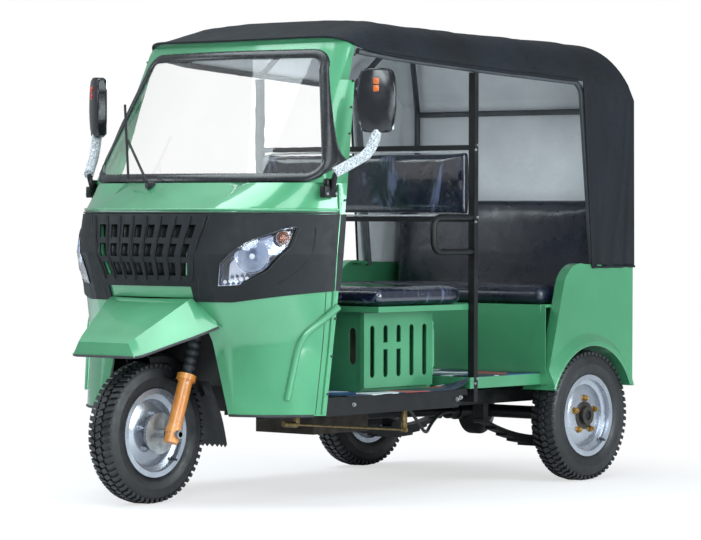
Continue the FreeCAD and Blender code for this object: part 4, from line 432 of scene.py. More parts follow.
# Rims: rolled and pressed steel under silver enamel, bolted to the hub by five nuts, with a rubber valve.
# The enamel is smooth and slightly metallic, with brake dust in the well; the nuts are yellow zinc.
silver, tree, surface = start_material("silver_wheel_enamel", Metallic=0.75, IOR=1.5)
vary(tree, surface["Base Color"], 12, 4, ((0.3, "#9FA3AC"), (0.7, "#B4B8C1")))
vary(tree, surface["Roughness"], 20, 4, ((0.3, 0.2), (0.7, 0.3)))
roughen(tree, surface, 200, 0.0001, 0.4)
brass_plate = finish("yellow_zinc_nuts", 60, ("#8A6B35", "#C39A55"), (60, 0.25, 0.45), (500, 0.0002),
                     Metallic=0.9)
hub_black = finish("black_hub_enamel", 40, ("#17130F", "#2E2720"), (40, 0.35, 0.6), (300, 0.0004), IOR=1.5)
DISC_FACE = 22
STUD_CIRCLE = 70
STUDS = 5
# A washer, a nut and its stud: how far they stand out of the disc, radius and number of sides.
NUT_PARTS = ((3, 14, 20), (15, 11.5, 6), (21, 6, 12))
for wheel, body, x, y in WHEELS:
    outward = ACROSS * (-1 if x < 0 else 1) * MM
    hub_finish = hub_black if x else silver
    smooth_copy(wheel + "_rim", wheel + "_rim_pressing", body, silver, 30)
    smooth_copy(wheel + "_hub", wheel + "_hub_casting", body, hub_finish, 30)
    centre = at(x, y, TYRE_RADIUS)
    bm = bmesh.new()
    for number in range(STUDS):
        angle = 2 * math.pi * number / STUDS
        foot = centre + Vector((0, math.sin(angle), math.cos(angle))) * STUD_CIRCLE * MM + outward * DISC_FACE
        for height, radius, sides in NUT_PARTS:
            rod_between(bm, foot, foot + outward * height, radius, sides)
    round_edges(bm, bm.edges[:], 0.6)
    add_piece(wheel + "_wheel_nuts", bm, body, brass_plate if x else silver)
    bm = bmesh.new()
    face = centre + outward * 20
    rod_between(bm, face, face + outward * (6 if x else 3), 57, 48)
    round_edges(bm, bm.edges[:], 1.5, 2)
    add_piece(wheel + "_hub_flange", bm, body, hub_finish)
    bm = bmesh.new()
    stem = centre + outward * 30 + Vector((0, 98, -98)) * MM
    aslant = Vector((0, 1, -1)) * MM
    rod_between(bm, stem, stem + outward * 16 + aslant * 6, 5)
    rod_between(bm, stem + outward * 14 + aslant * 5, stem + outward * 24 + aslant * 9, 4)
    add_piece(wheel + "_valve", bm, body, rubber)


# Front fork: painted lower legs with collars and axle clamps, black rubber bellows over the upper tubes,
# and a plated axle. The orange enamel is scuffed through to grey primer on its front edges.
def on_fork(across, along, behind=0.0):
    """A place on the fork in millimetres: across the vehicle, up the raked axis and behind it."""
    return at(across, 0, TYRE_RADIUS) + (FORK_UP * along + FORK_BACK * behind) * MM


orange_enamel, tree, surface = start_material("orange_fork_enamel", IOR=1.5, Coat_Weight=0.4,
                                              Coat_Roughness=0.2)
scuff = vary(tree, None, 70, 6, ((0.6, 0.0), (0.64, 1.0)), 0.7)
paint = vary(tree, None, 14, 4, ((0.3, "#B4661F"), (0.7, "#D58E43")))
add_node(tree, "MixRGB", {"Fac": scuff, "Color1": paint, "Color2": linear("#B7B2A8")}, surface["Base Color"])
vary(tree, surface["Roughness"], 30, 3, ((0.3, 0.3), (0.7, 0.5)))
roughen(tree, surface, 200, 0.0004)
zinc = finish("bright_zinc_plate", 25, ("#8A8C8E", "#B4B6B8"), (60, 0.28, 0.48), (600, 0.0002), Metallic=0.9)
RAKE = math.radians(20)
FORK_UP = Vector((0, math.sin(RAKE), math.cos(RAKE)))
FORK_BACK = Vector((0, math.cos(RAKE), -math.sin(RAKE)))
LEG_X = 130
AXLE_END = 171
FORK_HOSE = ((112, 430, 30), (110, 330, 45), (106, 200, 48), (98, 90, 44), (84, 30, 34))
smooth_copy("fork_lowers", "fork_lower_legs", "fork", orange_enamel, 35)
smooth_copy("fork_gaiters", "fork_bellows", "fork", rubber, 60)
smooth_copy("handlebar", "handlebar_tube", "fork", black_enamel)
coat(zinc, "fork_tubes", "front_axle")
collars = bmesh.new()
nuts = bmesh.new()
for side in (-1, 1):
    foot = on_fork(side * LEG_X, 0)
    rod_between(collars, on_fork(side * LEG_X, 205), on_fork(side * LEG_X, 214), 31, 32)
    rod_between(collars, on_fork(side * LEG_X, 2), on_fork(side * LEG_X, 26), 30, 32)
    rounded_block(collars, foot + Vector((-20, -16, -32)) * MM, foot + Vector((20, 16, -4)) * MM, 4)
    end = at(side * AXLE_END, 0, TYRE_RADIUS)
    rod_between(nuts, end - ACROSS * side * 12 * MM, end, 13, 6)
add_piece("fork_leg_collars", collars, "fork", orange_enamel)
round_edges(nuts, nuts.edges[:], 0.8)
add_piece("axle_nuts", nuts, "fork", brass_plate)
wire("front_brake_hose", [on_fork(*point) for point in FORK_HOSE], 5, "fork", rubber)


# Mud flap: cut rubber sheet hung behind the mudguard, with a toothed lower edge.
# Its grain is the calendered finish of plain black rubber, greyed by dust.
def thicken(bm, wall):
    """Gives an open sheet a wall in millimetres."""
    bmesh.ops.solidify(bm, geom=bm.faces[:], thickness=wall * MM)
    bmesh.ops.recalc_face_normals(bm, faces=bm.faces)


flap_rubber = finish("dusty_flap_rubber", 12, ("#262628", "#343436"), (30, 0.55, 0.75), (400, 0.0003),
                     IOR=1.5)
FLAP_TOP = at(0, 262, 452)
FLAP_FOOT = at(0, 363, 209)
FLAP_WIDE = 160
FLAP_COLUMNS = 28
TOOTH = 11
bm = bmesh.new()
bmesh.ops.create_grid(bm, x_segments=FLAP_COLUMNS, y_segments=20, size=0.5)
for vert in bm.verts:
    u, v = vert.co.x, vert.co.y + 0.5
    column = round((u + 0.5) * FLAP_COLUMNS)
    tooth = (0, TOOTH / 2, TOOTH, TOOTH / 2)[column % 4] if v < 0.01 else 0
    curl = math.sin(v * math.pi) * 14 + 4 * math.sin(u * 9)
    vert.co = FLAP_FOOT.lerp(FLAP_TOP, v) + Vector((u * FLAP_WIDE, curl, -tooth)) * MM
thicken(bm, 4)
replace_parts(add_piece("mud_flap_sheet", bm, "fork", flap_rubber), "mud_flap")

# Green body: pressed sheet steel under sea-green metallic enamel with a clear coat.
# The colour drifts a little across the sheet and the clear coat has the soft ripple of sprayed paint.
green_enamel, tree, surface = start_material("sea_green_metallic_enamel", Metallic=0.25, IOR=1.5,
                                             Coat_Weight=1.0, Coat_Roughness=0.07)
base = vary(tree, None, 2.2, 3, ((0.3, "#2F7B4F"), (0.55, "#3A8B5C"), (0.75, "#479A69")))
sparkle = vary(tree, None, 900, 1, ((0.4, "#5B8F76"), (0.6, "#8FD9B6")))
add_node(tree, "MixRGB", {"Fac": 0.12, "Color1": base, "Color2": sparkle}, surface["Base Color"])
vary(tree, surface["Roughness"], 5, 4, ((0.3, 0.28), (0.7, 0.42)))
roughen(tree, surface, 90, 0.0003, 0.5)
for node, sharp in (("front_cowl", 32), ("windscreen_frame", 32), ("nose_fender", 32),
                    ("rear_quarter_left", 13), ("rear_quarter_right", 13)):
    smooth_copy(node, node + "_sheet", "cab", green_enamel, sharp)
coat(green_enamel, "rear_floor", "seat_tray", "rear_panel", "bench_base", "door_hinge")
smooth_copy("engine_box", "engine_box_sheet", "cab", green_enamel)
smooth_copy("engine_door", "engine_door_pan", "access_door", green_enamel)

# Arch beads and corner gussets: a wired edge round each rear wheel arch, and a plate with a slanted edge
# that closes the corner between the bench's front and the quarter. Both are the painted sheet steel.
SIDES = ((-1, "right"), (1, "left"))
ARCH_X = 647
ARCH_RADIUS = 290
GUSSET_Y = 1693
GUSSET = ((470, 450), (604, 450), (604, 722), (586, 722), (574, 662))
gussets = bmesh.new()
for side, name in SIDES:
    arch = [at(side * ARCH_X, WHEELBASE - ARCH_RADIUS * math.cos(math.radians(angle)),
               TYRE_RADIUS + ARCH_RADIUS * math.sin(math.radians(angle))) for angle in range(24, 159, 6)]
    wire(f"arch_bead_{name}", arch, 5, "cab", green_enamel)
    corners = [gussets.verts.new(at(side * x, GUSSET_Y, z)) for x, z in GUSSET]
    bmesh.ops.contextual_create(gussets, geom=corners)
thicken(gussets, 3)
add_piece("bench_corner_gussets", gussets, "cab", green_enamel)

# Belt bead and edge trims: a rolled bead over a dark gap along the belt, and rubber lipping pressed
# over the lower edges of the cowl and the nose fender. The bead is painted with the cowl.
BELT_ACROSS = range(-612, 613, 34)
BELT_HEIGHT, BELT_GAP_HEIGHT = 1104, 1093
FENDER_EDGE = ((300, 68, 667), (275, 0, 640), (220, -118, 600), (176, -206, 566), (158, -236, 560))
FENDER_NOSE = ((80, -237, 560), (0, -237, 560), (-80, -237, 560))
# The cab front's plan, one row for each height: the nose is an arc across half, a corner arc leads from
# it to the flange. Height, half, nose, side, corner x and y, flange x and y, in millimetres.
COWL = ((340, 350, 88, 100, 512, 200, 600, 331), (613, 320, 83, 101, 522, 230, 610, 362),
        (820, 300, 8, 28, 520, 203, 617, 384), (940, 300, -27, -9, 520, 178, 619, 399),
        (1100, 300, 8, 26, 520, 207, 620, 415), (1205, 300, 160, 205, 545, 297, 604, 448))
SCREEN = ((1205, 588, 180, 328, 604, 390, 604, 448), (1714, 458, 441, 525, 506, 548, 534, 584),
          (1765, 438, 466, 545, 484, 566, 520, 602))


def plan_at(rows, height):
    """The plan at a height, between two rows of a table."""
    for low, high in zip(rows, rows[1:]):
        if height <= high[0] or high is rows[-1]:
            share = (height - low[0]) / (high[0] - low[0])
            return [a + (b - a) * share for a, b in zip(low, high)][1:]


def on_front(rows, x, height, out=0.0):
    """A place on the cab's front in millimetres, out of the sheet by out along its level normal."""
    half, nose, side, corner_x, corner_y, flange_x, flange_y = plan_at(rows, height)
    if abs(x) <= half:
        a, b, c = Vector((-half, side)), Vector((0, nose)), Vector((half, side))
    else:
        a, b, c = Vector((half, side)), Vector((corner_x, corner_y)), Vector((flange_x, flange_y))
    twice_area = 2 * ((b.x - a.x) * (c.y - a.y) - (b.y - a.y) * (c.x - a.x))
    ab, ac = (b - a).length_squared, (c - a).length_squared
    to_centre = Vector(((c.y - a.y) * ab - (b.y - a.y) * ac, (b.x - a.x) * ac - (c.x - a.x) * ab))
    centre = a + to_centre / twice_area
    radius = (a - centre).length
    y = centre.y - math.sqrt(max(radius ** 2 - (abs(x) - centre.x) ** 2, 0))
    way = (Vector((abs(x), y)) - centre).normalized() * out
    return at(x + math.copysign(way.x, x), y + way.y, height)


wire("belt_bead", [on_front(COWL, x, BELT_HEIGHT, 3) for x in BELT_ACROSS], 5.5, "cab", green_enamel)
wire("belt_gap_seal", [on_front(COWL, x, BELT_GAP_HEIGHT, 4) for x in BELT_ACROSS], 3.6, "cab", rubber)
for side, name in SIDES:
    lip = [on_front(COWL, side * x, COWL[0][0]) for x in range(326, 599, 21)]
    wire(f"cowl_lipping_{name}", lip, 5, "cab", rubber)
fender_way = [at(*point) for point in FENDER_EDGE + FENDER_NOSE]
fender_way += [at(-x, y, z) for x, y, z in FENDER_EDGE[::-1]]
wire("fender_lipping", fender_way, 5, "cab", rubber)

# Pillar flanges, creases, screws and brackets: a folded flange with a thin joint line and small dark
# screws down each pillar's rear edge, a shallow pressed step that leaves the pillar under the fascia and
# runs down the cowl, and a bracket with two screws under each mirror arm.
FLANGE_HEIGHTS = (346, 480, 613, 720, 820, 940, 1020, 1100, 1150, 1198)
CREASE = ((612, 745), (587, 698), (549, 650), (529, 602), (519, 515), (506, 400))
COWL_SCREWS = (420, 560, 700, 980, 1060, 1140)
SCREEN_SCREWS = (1290, 1390, 1490, 1590, 1690)
BRACKET_X, BRACKET_Y, BRACKET_Z = 606, 335, 1172
BRACKET_SCREWS = (-24, 24)


def near_flange(side, inward, height, out):
    """A place on the cowl at a distance in from its flange."""
    return on_front(COWL, side * (plan_at(COWL, height)[5] - inward), height, out)


for side, name in SIDES:
    wire(f"pillar_flange_{name}", [near_flange(side, 7, height, -2) for height in FLANGE_HEIGHTS], 7, "cab",
         green_enamel)
    wire(f"pillar_joint_{name}", [near_flange(side, 19, height, 0.5) for height in FLANGE_HEIGHTS[:-2]], 1.2,
         "cab", rubber)
    wire(f"cowl_crease_{name}", [on_front(COWL, side * x, height, -12) for x, height in CREASE], 14, "cab",
         green_enamel)
small_screws = bmesh.new()
brackets = bmesh.new()
bracket_screws = bmesh.new()
for side in (-1, 1):
    outward = ACROSS * side * MM
    for height in COWL_SCREWS:
        middle = near_flange(side, 1.5, height, 0)
        rod_between(small_screws, middle, middle + outward * 5, 4, 12)
    for height in SCREEN_SCREWS:
        flange_x, flange_y = plan_at(SCREEN, height)[5:]
        middle = at(side * flange_x, flange_y - 9, height)
        rod_between(small_screws, middle - outward * 3, middle + outward * 3, 4.5, 12)
    middle = at(side * BRACKET_X, BRACKET_Y, BRACKET_Z)
    rounded_block(brackets, middle + Vector((-14, -34, -22)) * MM, middle + Vector((14, 34, 22)) * MM, 4)
    rounded_block(brackets, middle + Vector((-10, -20, 18)) * MM, middle + Vector((12, 12, 48)) * MM, 4)
    for y in BRACKET_SCREWS:
        foot = middle + Vector((side * 12, y, -8)) * MM
        rod_between(bracket_screws, foot, foot + outward * 7, 6, 14)
add_piece("pillar_screws", small_screws, "cab", rubber)
add_piece("mirror_brackets", brackets, "cab", black_enamel)
add_piece("bracket_screws", bracket_screws, "cab", zinc)

# Fascia and dark trim: injection-moulded charcoal ABS with a fine satin grain, clipped to the cowl.
# Behind the ribs a near-black tray closes the vent; its colour is painted shade for the dark recess
# behind the slots. Thin joint lines run down beside the grille.
charcoal = finish("charcoal_abs", 6, ("#121518", "#1A1D21"), (30, 0.44, 0.6), (1400, 0.00015), IOR=1.5,
                  Specular_IOR_Level=0.25)
# The tray's near-black is painted shade in the vent's recess; the joint lines and lamp gaskets share it as
# real dark trim.
trim_and_vent_shade_black = finish("black_trim_and_vent_shade", 90, ("#0B0C0E", "#16191B"), (60, 0.3, 0.6), (700, 0.0004), IOR=1.5)
# The blue tint in the chrome's colour is a painted reflection of pale sky.
chrome = finish("chrome_painted_blue_reflection", 8, ("#9DA9C2", "#D3DBEB"), (25, 0.05, 0.16), (40, 0.0008), Metallic=1.0)
TRAY_WIDE, TRAY_HIGH, TRAY_MIDDLE = 516, 238, 957
JOINT_LINE = ((238, 772), (252, 850), (276, 960), (300, 1082))
FASCIA_CREASE = ((578, 1040), (580, 980), (570, 920), (540, 868), (500, 832))
RIBS = 9
RIB_FOOT_PITCH, RIB_TOP_PITCH = 55, 71
RIB_FOOT, RIB_RISE = 842, 238
# A rib's places up its height and how far it bends aside at each.
RIB_BENDS = ((0, 0), (0.17, 6), (0.33, 0), (0.5, 6), (0.67, 0), (0.83, 6), (1, 0))
coat(charcoal, "front_fascia", "dashboard")
bm = bmesh.new()
bmesh.ops.create_grid(bm, x_segments=40, y_segments=12, size=0.5)
for vert in bm.verts:
    vert.co = on_front(COWL, vert.co.x * TRAY_WIDE, TRAY_MIDDLE + vert.co.y * TRAY_HIGH, -16)
thicken(bm, 2)
add_piece("vent_shade_sheet", bm, "cab", trim_and_vent_shade_black)
for side, name in SIDES:
    wire(f"fascia_joint_{name}", [on_front(COWL, side * x, z, 8.8) for x, z in JOINT_LINE], 1.6, "cab",
         trim_and_vent_shade_black)
for side, name in SIDES:
    wire(f"fascia_crease_{name}", [on_front(COWL, side * x, z, 6.5) for x, z in FASCIA_CREASE], 4.5, "cab",
         charcoal)
for number in range(RIBS):
    lower, upper = (number - RIBS // 2) * RIB_FOOT_PITCH, (number - RIBS // 2) * RIB_TOP_PITCH
    rib = [on_front(COWL, lower + (upper - lower) * share + bend, RIB_FOOT + RIB_RISE * share, 8.5)
           for share, bend in RIB_BENDS]
    wire(f"grille_rib_{number}", rib, 6, "cab", charcoal)

# Headlamps: a clear moulded lens over a vacuum-chromed bowl, with a round main reflector, a row of five
# day lights below it and an amber turn bulb towards the corner. A dark gasket runs round the lens.
clear_lens = finish("clear_polycarbonate", 4, ("#F3F6FB", "#FFFFFF"), (12, 0.02, 0.08), (60, 0.0003),
                    Transmission_Weight=1.0, IOR=1.45)
amber = finish("amber_plastic", 30, ("#B4491A", "#DB7427"), (40, 0.12, 0.28), (300, 0.0003), IOR=1.5,
               Transmission_Weight=0.2)
white_plastic = finish("pearl_plastic", 30, ("#DDE3EC", "#F5F7FA"), (40, 0.2, 0.35), (300, 0.0002), IOR=1.5)
LENS_WALL = 2.5
HOUSING_WALL = 1.5
# The main bowl's section: radius and depth.
BOWL = ((6, -33), (26, -29), (46, -18), (60, -4), (66, 2), (70, 2))
# Each round reflector: place across and up, its size beside the main bowl's section, and its bulb's radius.
REFLECTORS = ((438, 932, 0.92, 11), (512, 1000, 0.38, 10))
DAY_LIGHTS = 5
DAY_LIGHT_X, DAY_LIGHT_PITCH = 350, 17
DAY_LIGHT_Z, DAY_LIGHT_RISE = 838, 3
LAMP_OUTLINE = ((332, 822), (398, 826), (478, 880), (536, 965), (548, 1042), (516, 1030), (430, 985),
                (352, 905))
lens_bm = merged_copy("headlamps")
housing_bm = merged_copy("headlamps")
for bm, keep_front in ((lens_bm, True), (housing_bm, False)):
    bm.normal_update()
    unwanted = []
    for face in bm.faces:
        facing = Vector((math.copysign(0.6, face.calc_center_median().x), -0.8, 0))
        if (face.normal.dot(facing) > 0.5) != keep_front:
            unwanted.append(face)
    bmesh.ops.delete(bm, geom=unwanted, context="FACES")
bmesh.ops.solidify(lens_bm, geom=lens_bm.faces[:], thickness=LENS_WALL * MM)
lens_piece = add_piece("headlamp_lenses", lens_bm, "cab", clear_lens)
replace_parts(lens_piece, "headlamps")
bmesh.ops.solidify(housing_bm, geom=housing_bm.faces[:], thickness=HOUSING_WALL * MM)
add_piece("headlamp_housings", housing_bm, "cab", chrome)
bowls = bmesh.new()
bulbs = bmesh.new()
ambers = bmesh.new()
for side in (-1, 1):
    facing = Vector((side * 0.62, -0.78, 0.0)).normalized()
    turn = facing.to_track_quat("Z", "Y").to_matrix().to_4x4()
    for (x, z, size, bulb_radius), target in zip(REFLECTORS, (bulbs, ambers)):
        middle = on_front(COWL, side * x, z, -6)
        bowl = bmesh.new()
        verts = [bowl.verts.new((r * size * MM, 0, depth * size * MM)) for r, depth in BOWL]
        edges = [bowl.edges.new(pair) for pair in zip(verts, verts[1:])]
        bmesh.ops.spin(bowl, geom=verts + edges, cent=(0, 0, 0), axis=(0, 0, 1), angle=2 * math.pi, steps=40,
                       use_merge=True)
        bmesh.ops.remove_doubles(bowl, verts=bowl.verts, dist=0.02 * MM)
        bmesh.ops.transform(bowl, matrix=Matrix.Translation(middle) @ turn, verts=bowl.verts)
        add_part(bowls, bowl)
        bulb_place = Matrix.Translation(middle - facing * 10 * size * MM)
        bmesh.ops.create_uvsphere(target, u_segments=24, v_segments=12, radius=bulb_radius * MM,
                                  matrix=bulb_place)
    for number in range(DAY_LIGHTS):
        middle = on_front(COWL, side * (DAY_LIGHT_X + number * DAY_LIGHT_PITCH),
                          DAY_LIGHT_Z + number * DAY_LIGHT_RISE, 5)
        rod_between(bulbs, middle - facing * 8 * MM, middle, 7, 18)
add_piece("headlamp_bowls", bowls, "cab", chrome)
add_piece("headlamp_bulbs", bulbs, "cab", white_plastic)
add_piece("turn_bulbs", ambers, "cab", amber)
for side, name in SIDES:
    gasket = []
    for (x0, z0), (x1, z1) in zip(LAMP_OUTLINE, LAMP_OUTLINE[1:] + LAMP_OUTLINE[:1]):
        gasket += [on_front(COWL, side * (x0 + (x1 - x0) * share), z0 + (z1 - z0) * share, 9)
                   for share in (0.06, 0.35, 0.65, 0.94)]
    wire(f"headlamp_gasket_{name}", gasket, 2.6, "cab", trim_and_vent_shade_black, closed=True)

# Windscreen: curved laminated glass in a broad rubber seal with round corners, pressed over a flange.
# The seal is glossy dark grey rubber; painted corner plates fill the frame behind its rounding.
clear_glass = finish("laminated_clear_glass", 3, ("#FAFDFC", "#FFFFFF"), (5, 0.0, 0.02), (3, 0.0002),
                     Transmission_Weight=1.0, IOR=1.45)
seal_rubber = finish("glossy_seal_rubber", 14, ("#191A1D", "#26282B"), (30, 0.2, 0.34), (400, 0.0002),
                     IOR=1.5)
GLASS_LOW = (576, 1223)
GLASS_HIGH = (456, 1696)
CORNER_ROUND = 62
CORNER_STEPS = 8
RUN_STEP = 24
SEAL_SECTION = ((-17, -5), (-17, 2), (-14, 6), (-6, 9), (6, 9), (14, 6), (17, 2), (17, -5))
PLATE_OUT, PLATE_IN = 4, 42
SPINDLE_X, SPINDLE_Z = -120, 1197
coat(clear_glass, "windscreen")
corners = []
for sx, sz, start in ((1, 1, 0), (-1, 1, 90), (-1, -1, 180), (1, -1, 270)):
    x, z = GLASS_HIGH if sz > 0 else GLASS_LOW
    middle = Vector((sx * (x - CORNER_ROUND), z - sz * CORNER_ROUND))
    for step in range(CORNER_STEPS + 1):
        angle = math.radians(start + step * 90 / CORNER_STEPS)
        corners.append(middle + Vector((math.cos(angle), math.sin(angle))) * CORNER_ROUND)
outline = []
for a, b in zip(corners, corners[1:] + corners[:1]):
    steps = max(1, round((b - a).length / RUN_STEP))
    outline += [a.lerp(b, step / steps) for step in range(steps)]
bm = bmesh.new()
loops = []
for across, out in SEAL_SECTION + SEAL_SECTION[:1]:
    ring = []
    for index, point in enumerate(outline):
        way = (outline[(index + 1) % len(outline)] - outline[index - 1]).normalized()
        place = point - Vector((way.y, -way.x)) * across
        ring.append(bm.verts.new(on_front(SCREEN, place.x, place.y, out)))
    loops.append([bm.edges.new(pair) for pair in zip(ring, ring[1:] + ring[:1])])
for one, other in zip(loops, loops[1:]):
    bmesh.ops.bridge_loops(bm, edges=one + other)
bmesh.ops.remove_doubles(bm, verts=bm.verts, dist=0.05 * MM)
bmesh.ops.recalc_face_normals(bm, faces=bm.faces)
seal = add_piece("windscreen_rubber", bm, "cab", seal_rubber, sharp=50)
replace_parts(seal, "windscreen_seal")
bm = bmesh.new()
for sx in (-1, 1):
    for (x, z), sz in ((GLASS_LOW, -1), (GLASS_HIGH, 1)):
        plate = ((x + PLATE_OUT, z + sz * PLATE_OUT), (x - PLATE_IN, z + sz * PLATE_OUT),
                 (x + PLATE_OUT, z - sz * PLATE_IN))
        bmesh.ops.contextual_create(bm, geom=[bm.verts.new(on_front(SCREEN, sx * across, up, 0.5))
                                              for across, up in plate])
thicken(bm, 5)
add_piece("screen_corner_plates", bm, "cab", green_enamel)
coat(black_enamel, "wiper")
bm = bmesh.new()
rod_between(bm, at(SPINDLE_X, 128, SPINDLE_Z), at(SPINDLE_X, 158, SPINDLE_Z - 2), 15, 24)
rod_between(bm, at(SPINDLE_X, 122, SPINDLE_Z), at(SPINDLE_X, 130, SPINDLE_Z), 9, 6)
add_piece("wiper_spindle_cap", bm, "cab", rubber)

# Handlebar grips: ribbed black rubber sleeves with a flange, and a clutch and a brake lever below them.
# Levers are forged bright plate; both are pinned to clamps beside the grips.
BAR_RADIUS = 11
GRIP_START, GRIP_START_UP = 177, 1057
GRIP_END, GRIP_END_UP = 338, 1045
FLANGE_SHARE = 0.02
FLANGE_RADIUS, RIB_RADIUS = 24, 18.5
grips = bmesh.new()
levers = bmesh.new()
grip_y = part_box("handlebar")[1][1] / MM + FRONT_AXLE_Y - BAR_RADIUS
for side in (-1, 1):
    start = at(side * GRIP_START, grip_y - 30, GRIP_START_UP)
    end = at(side * GRIP_END, grip_y, GRIP_END_UP)
    rod_between(grips, start, end, 16.5, 24)
    half_rib = (end - start).normalized() * 3 * MM
    for share in (FLANGE_SHARE, 0.2, 0.35, 0.5, 0.65, 0.8, 0.97):
        middle = start.lerp(end, share)
        rod_between(grips, middle - half_rib, middle + half_rib,
                    FLANGE_RADIUS if share == FLANGE_SHARE else RIB_RADIUS, 24)
    clamp = start + Vector((-side * 28, 0, 0)) * MM
    rounded_block(levers, clamp - Vector((14, 18, 18)) * MM, clamp + Vector((14, 18, 18)) * MM, 4)
    pivot = start + Vector((-side * 20, -20, -6)) * MM
    rod_between(levers, pivot, end + Vector((-side * 6, -52, -12)) * MM, 5)
add_piece("handlebar_grips", grips, "fork", rubber)
add_piece("handlebar_levers", levers, "fork", zinc)

# Floor mats: thin printed plastic with large navy, white and red patches, laid loose on the steel floors.
# The rear corner of the near one has curled up. The print's grid is drawn coarse enough to show.
mat_print, tree, surface = start_material("printed_plastic_mat", IOR=1.5, Coat_Weight=0.3, Coat_Roughness=0.3)
place = add_node(tree, "TexCoord", {}).outputs["Object"]
patches = add_node(tree, "TexVoronoi", {"Vector": place, "Scale": 6.5})
choice = add_node(tree, "SeparateXYZ", {"Vector": patches.outputs["Color"]})
prints = add_node(tree, "ValToRGB", {"Fac": choice}, surface["Base Color"],
                  ((0.0, "#1B2348"), (0.5, "#D6D9DF"), (0.74, "#1F4E86"), (0.86, "#A93A45")))
prints.color_ramp.interpolation = "CONSTANT"
vary(tree, surface["Roughness"], 40, 2, ((0.3, 0.35), (0.7, 0.6)))
knots = add_node(tree, "TexChecker", {"Vector": place, "Scale": 260.0, "Color1": (1, 1, 1, 1),
                                      "Color2": (0, 0, 0, 1)})
add_node(tree, "Bump", {"Height": knots.outputs["Fac"], "Distance": 0.0006}, surface["Normal"])
# Name, across from and to, along from and to, the floor and its height, and whether a corner has curled.
MATS = (("sill_mat", 444, 588, 470, 1226, "front_floor", 405, True),
        ("driver_mat", -588, 438, 462, 730, "front_floor", 405, False),
        ("passenger_mat", -572, 572, 1290, 1692, "rear_floor", 447, False))
MAT_MESH = 12
CURL_FROM = 0.86
CURL_HEIGHT = 42
for name, x0, x1, y0, y1, floor_node, floor_height, curled in MATS:
    bm = bmesh.new()
    wide, long = x1 - x0, y1 - y0
    bmesh.ops.create_grid(bm, x_segments=round(wide / MAT_MESH), y_segments=round(long / MAT_MESH), size=0.5)
    for vert in bm.verts:
        u, v = vert.co.x + 0.5, vert.co.y + 0.5
        x, y = x0 + u * wide, y0 + v * long
        z = floor_height + 1 + 2.5 * (0.5 + field.noise(Vector((x, y, 0)) * 0.012))
        if curled:
            curl = max(0.0, v - CURL_FROM) / (1 - CURL_FROM) * (0.35 + 0.65 * u)
            z += CURL_HEIGHT * curl ** 1.6
            y -= 16 * curl ** 2
        vert.co = at(x, y, z)
    thicken(bm, 2)
    mat = add_piece(name, bm, "cab", mat_print, sharp=50)

# Seats: foam pads under navy vinyl on plywood. Each is a soft shape blown up a little by a cloth
# simulation between welted edges; clear film left on the driver's seat wrinkles, with pale lilac painted
# highlights on its ridges.
vinyl, tree, surface = start_material("navy_seat_vinyl", IOR=1.5, Coat_Weight=0.35, Coat_Roughness=0.18)
place = add_node(tree, "TexCoord", {}).outputs["Object"]
vary(tree, surface["Base Color"], 5, 4, ((0.3, "#0D111D"), (0.7, "#151A2B")))
vary(tree, surface["Roughness"], 9, 5, ((0.35, 0.2), (0.65, 0.5)))
grain = add_node(tree, "TexNoise", {"Vector": place, "Scale": 900, "Detail": 2, "Roughness": 0.55})
low_grain = add_node(tree, "Math", {0: grain, 1: 0.04}, operation="MULTIPLY")
creased = add_node(tree, "TexNoise", {"Vector": place, "Scale": 5.0, "Detail": 3.0, "Distortion": 1.2})
relief = add_node(tree, "Math", {0: creased, 1: low_grain}, operation="ADD")
add_node(tree, "Bump", {"Height": relief, "Distance": 0.008, "Strength": 0.5}, surface["Normal"])
film, tree, surface = start_material("clear_film_with_painted_highlights", IOR=1.5, Coat_Weight=1.0, Coat_Roughness=0.06)
place = add_node(tree, "TexCoord", {}).outputs["Object"]
stretched = add_node(tree, "Mapping", {"Vector": place, "Scale": (7.0, 9.0, 2.6)})
wrinkle = add_node(tree, "TexNoise", {"Vector": stretched, "Scale": 1.0, "Detail": 4.0, "Distortion": 2.2})
# The pale lilac stop on the wrinkle ridges is painted highlight: the film's reflections put into its colour.
add_node(tree, "ValToRGB", {"Fac": wrinkle}, surface["Base Color"],
         ((0.3, "#0A0E1B"), (0.6, "#141A2E"), (0.68, "#56607C")))
add_node(tree, "ValToRGB", {"Fac": wrinkle}, surface["Roughness"], ((0.3, 0.12), (0.7, 0.34)))
add_node(tree, "Bump", {"Height": wrinkle, "Distance": 0.012, "Strength": 0.6}, surface["Normal"])
piping = finish("white_vinyl_piping", 40, ("#C9CCD0", "#E6E8EA"), (60, 0.35, 0.5), (500, 0.0002), IOR=1.5)
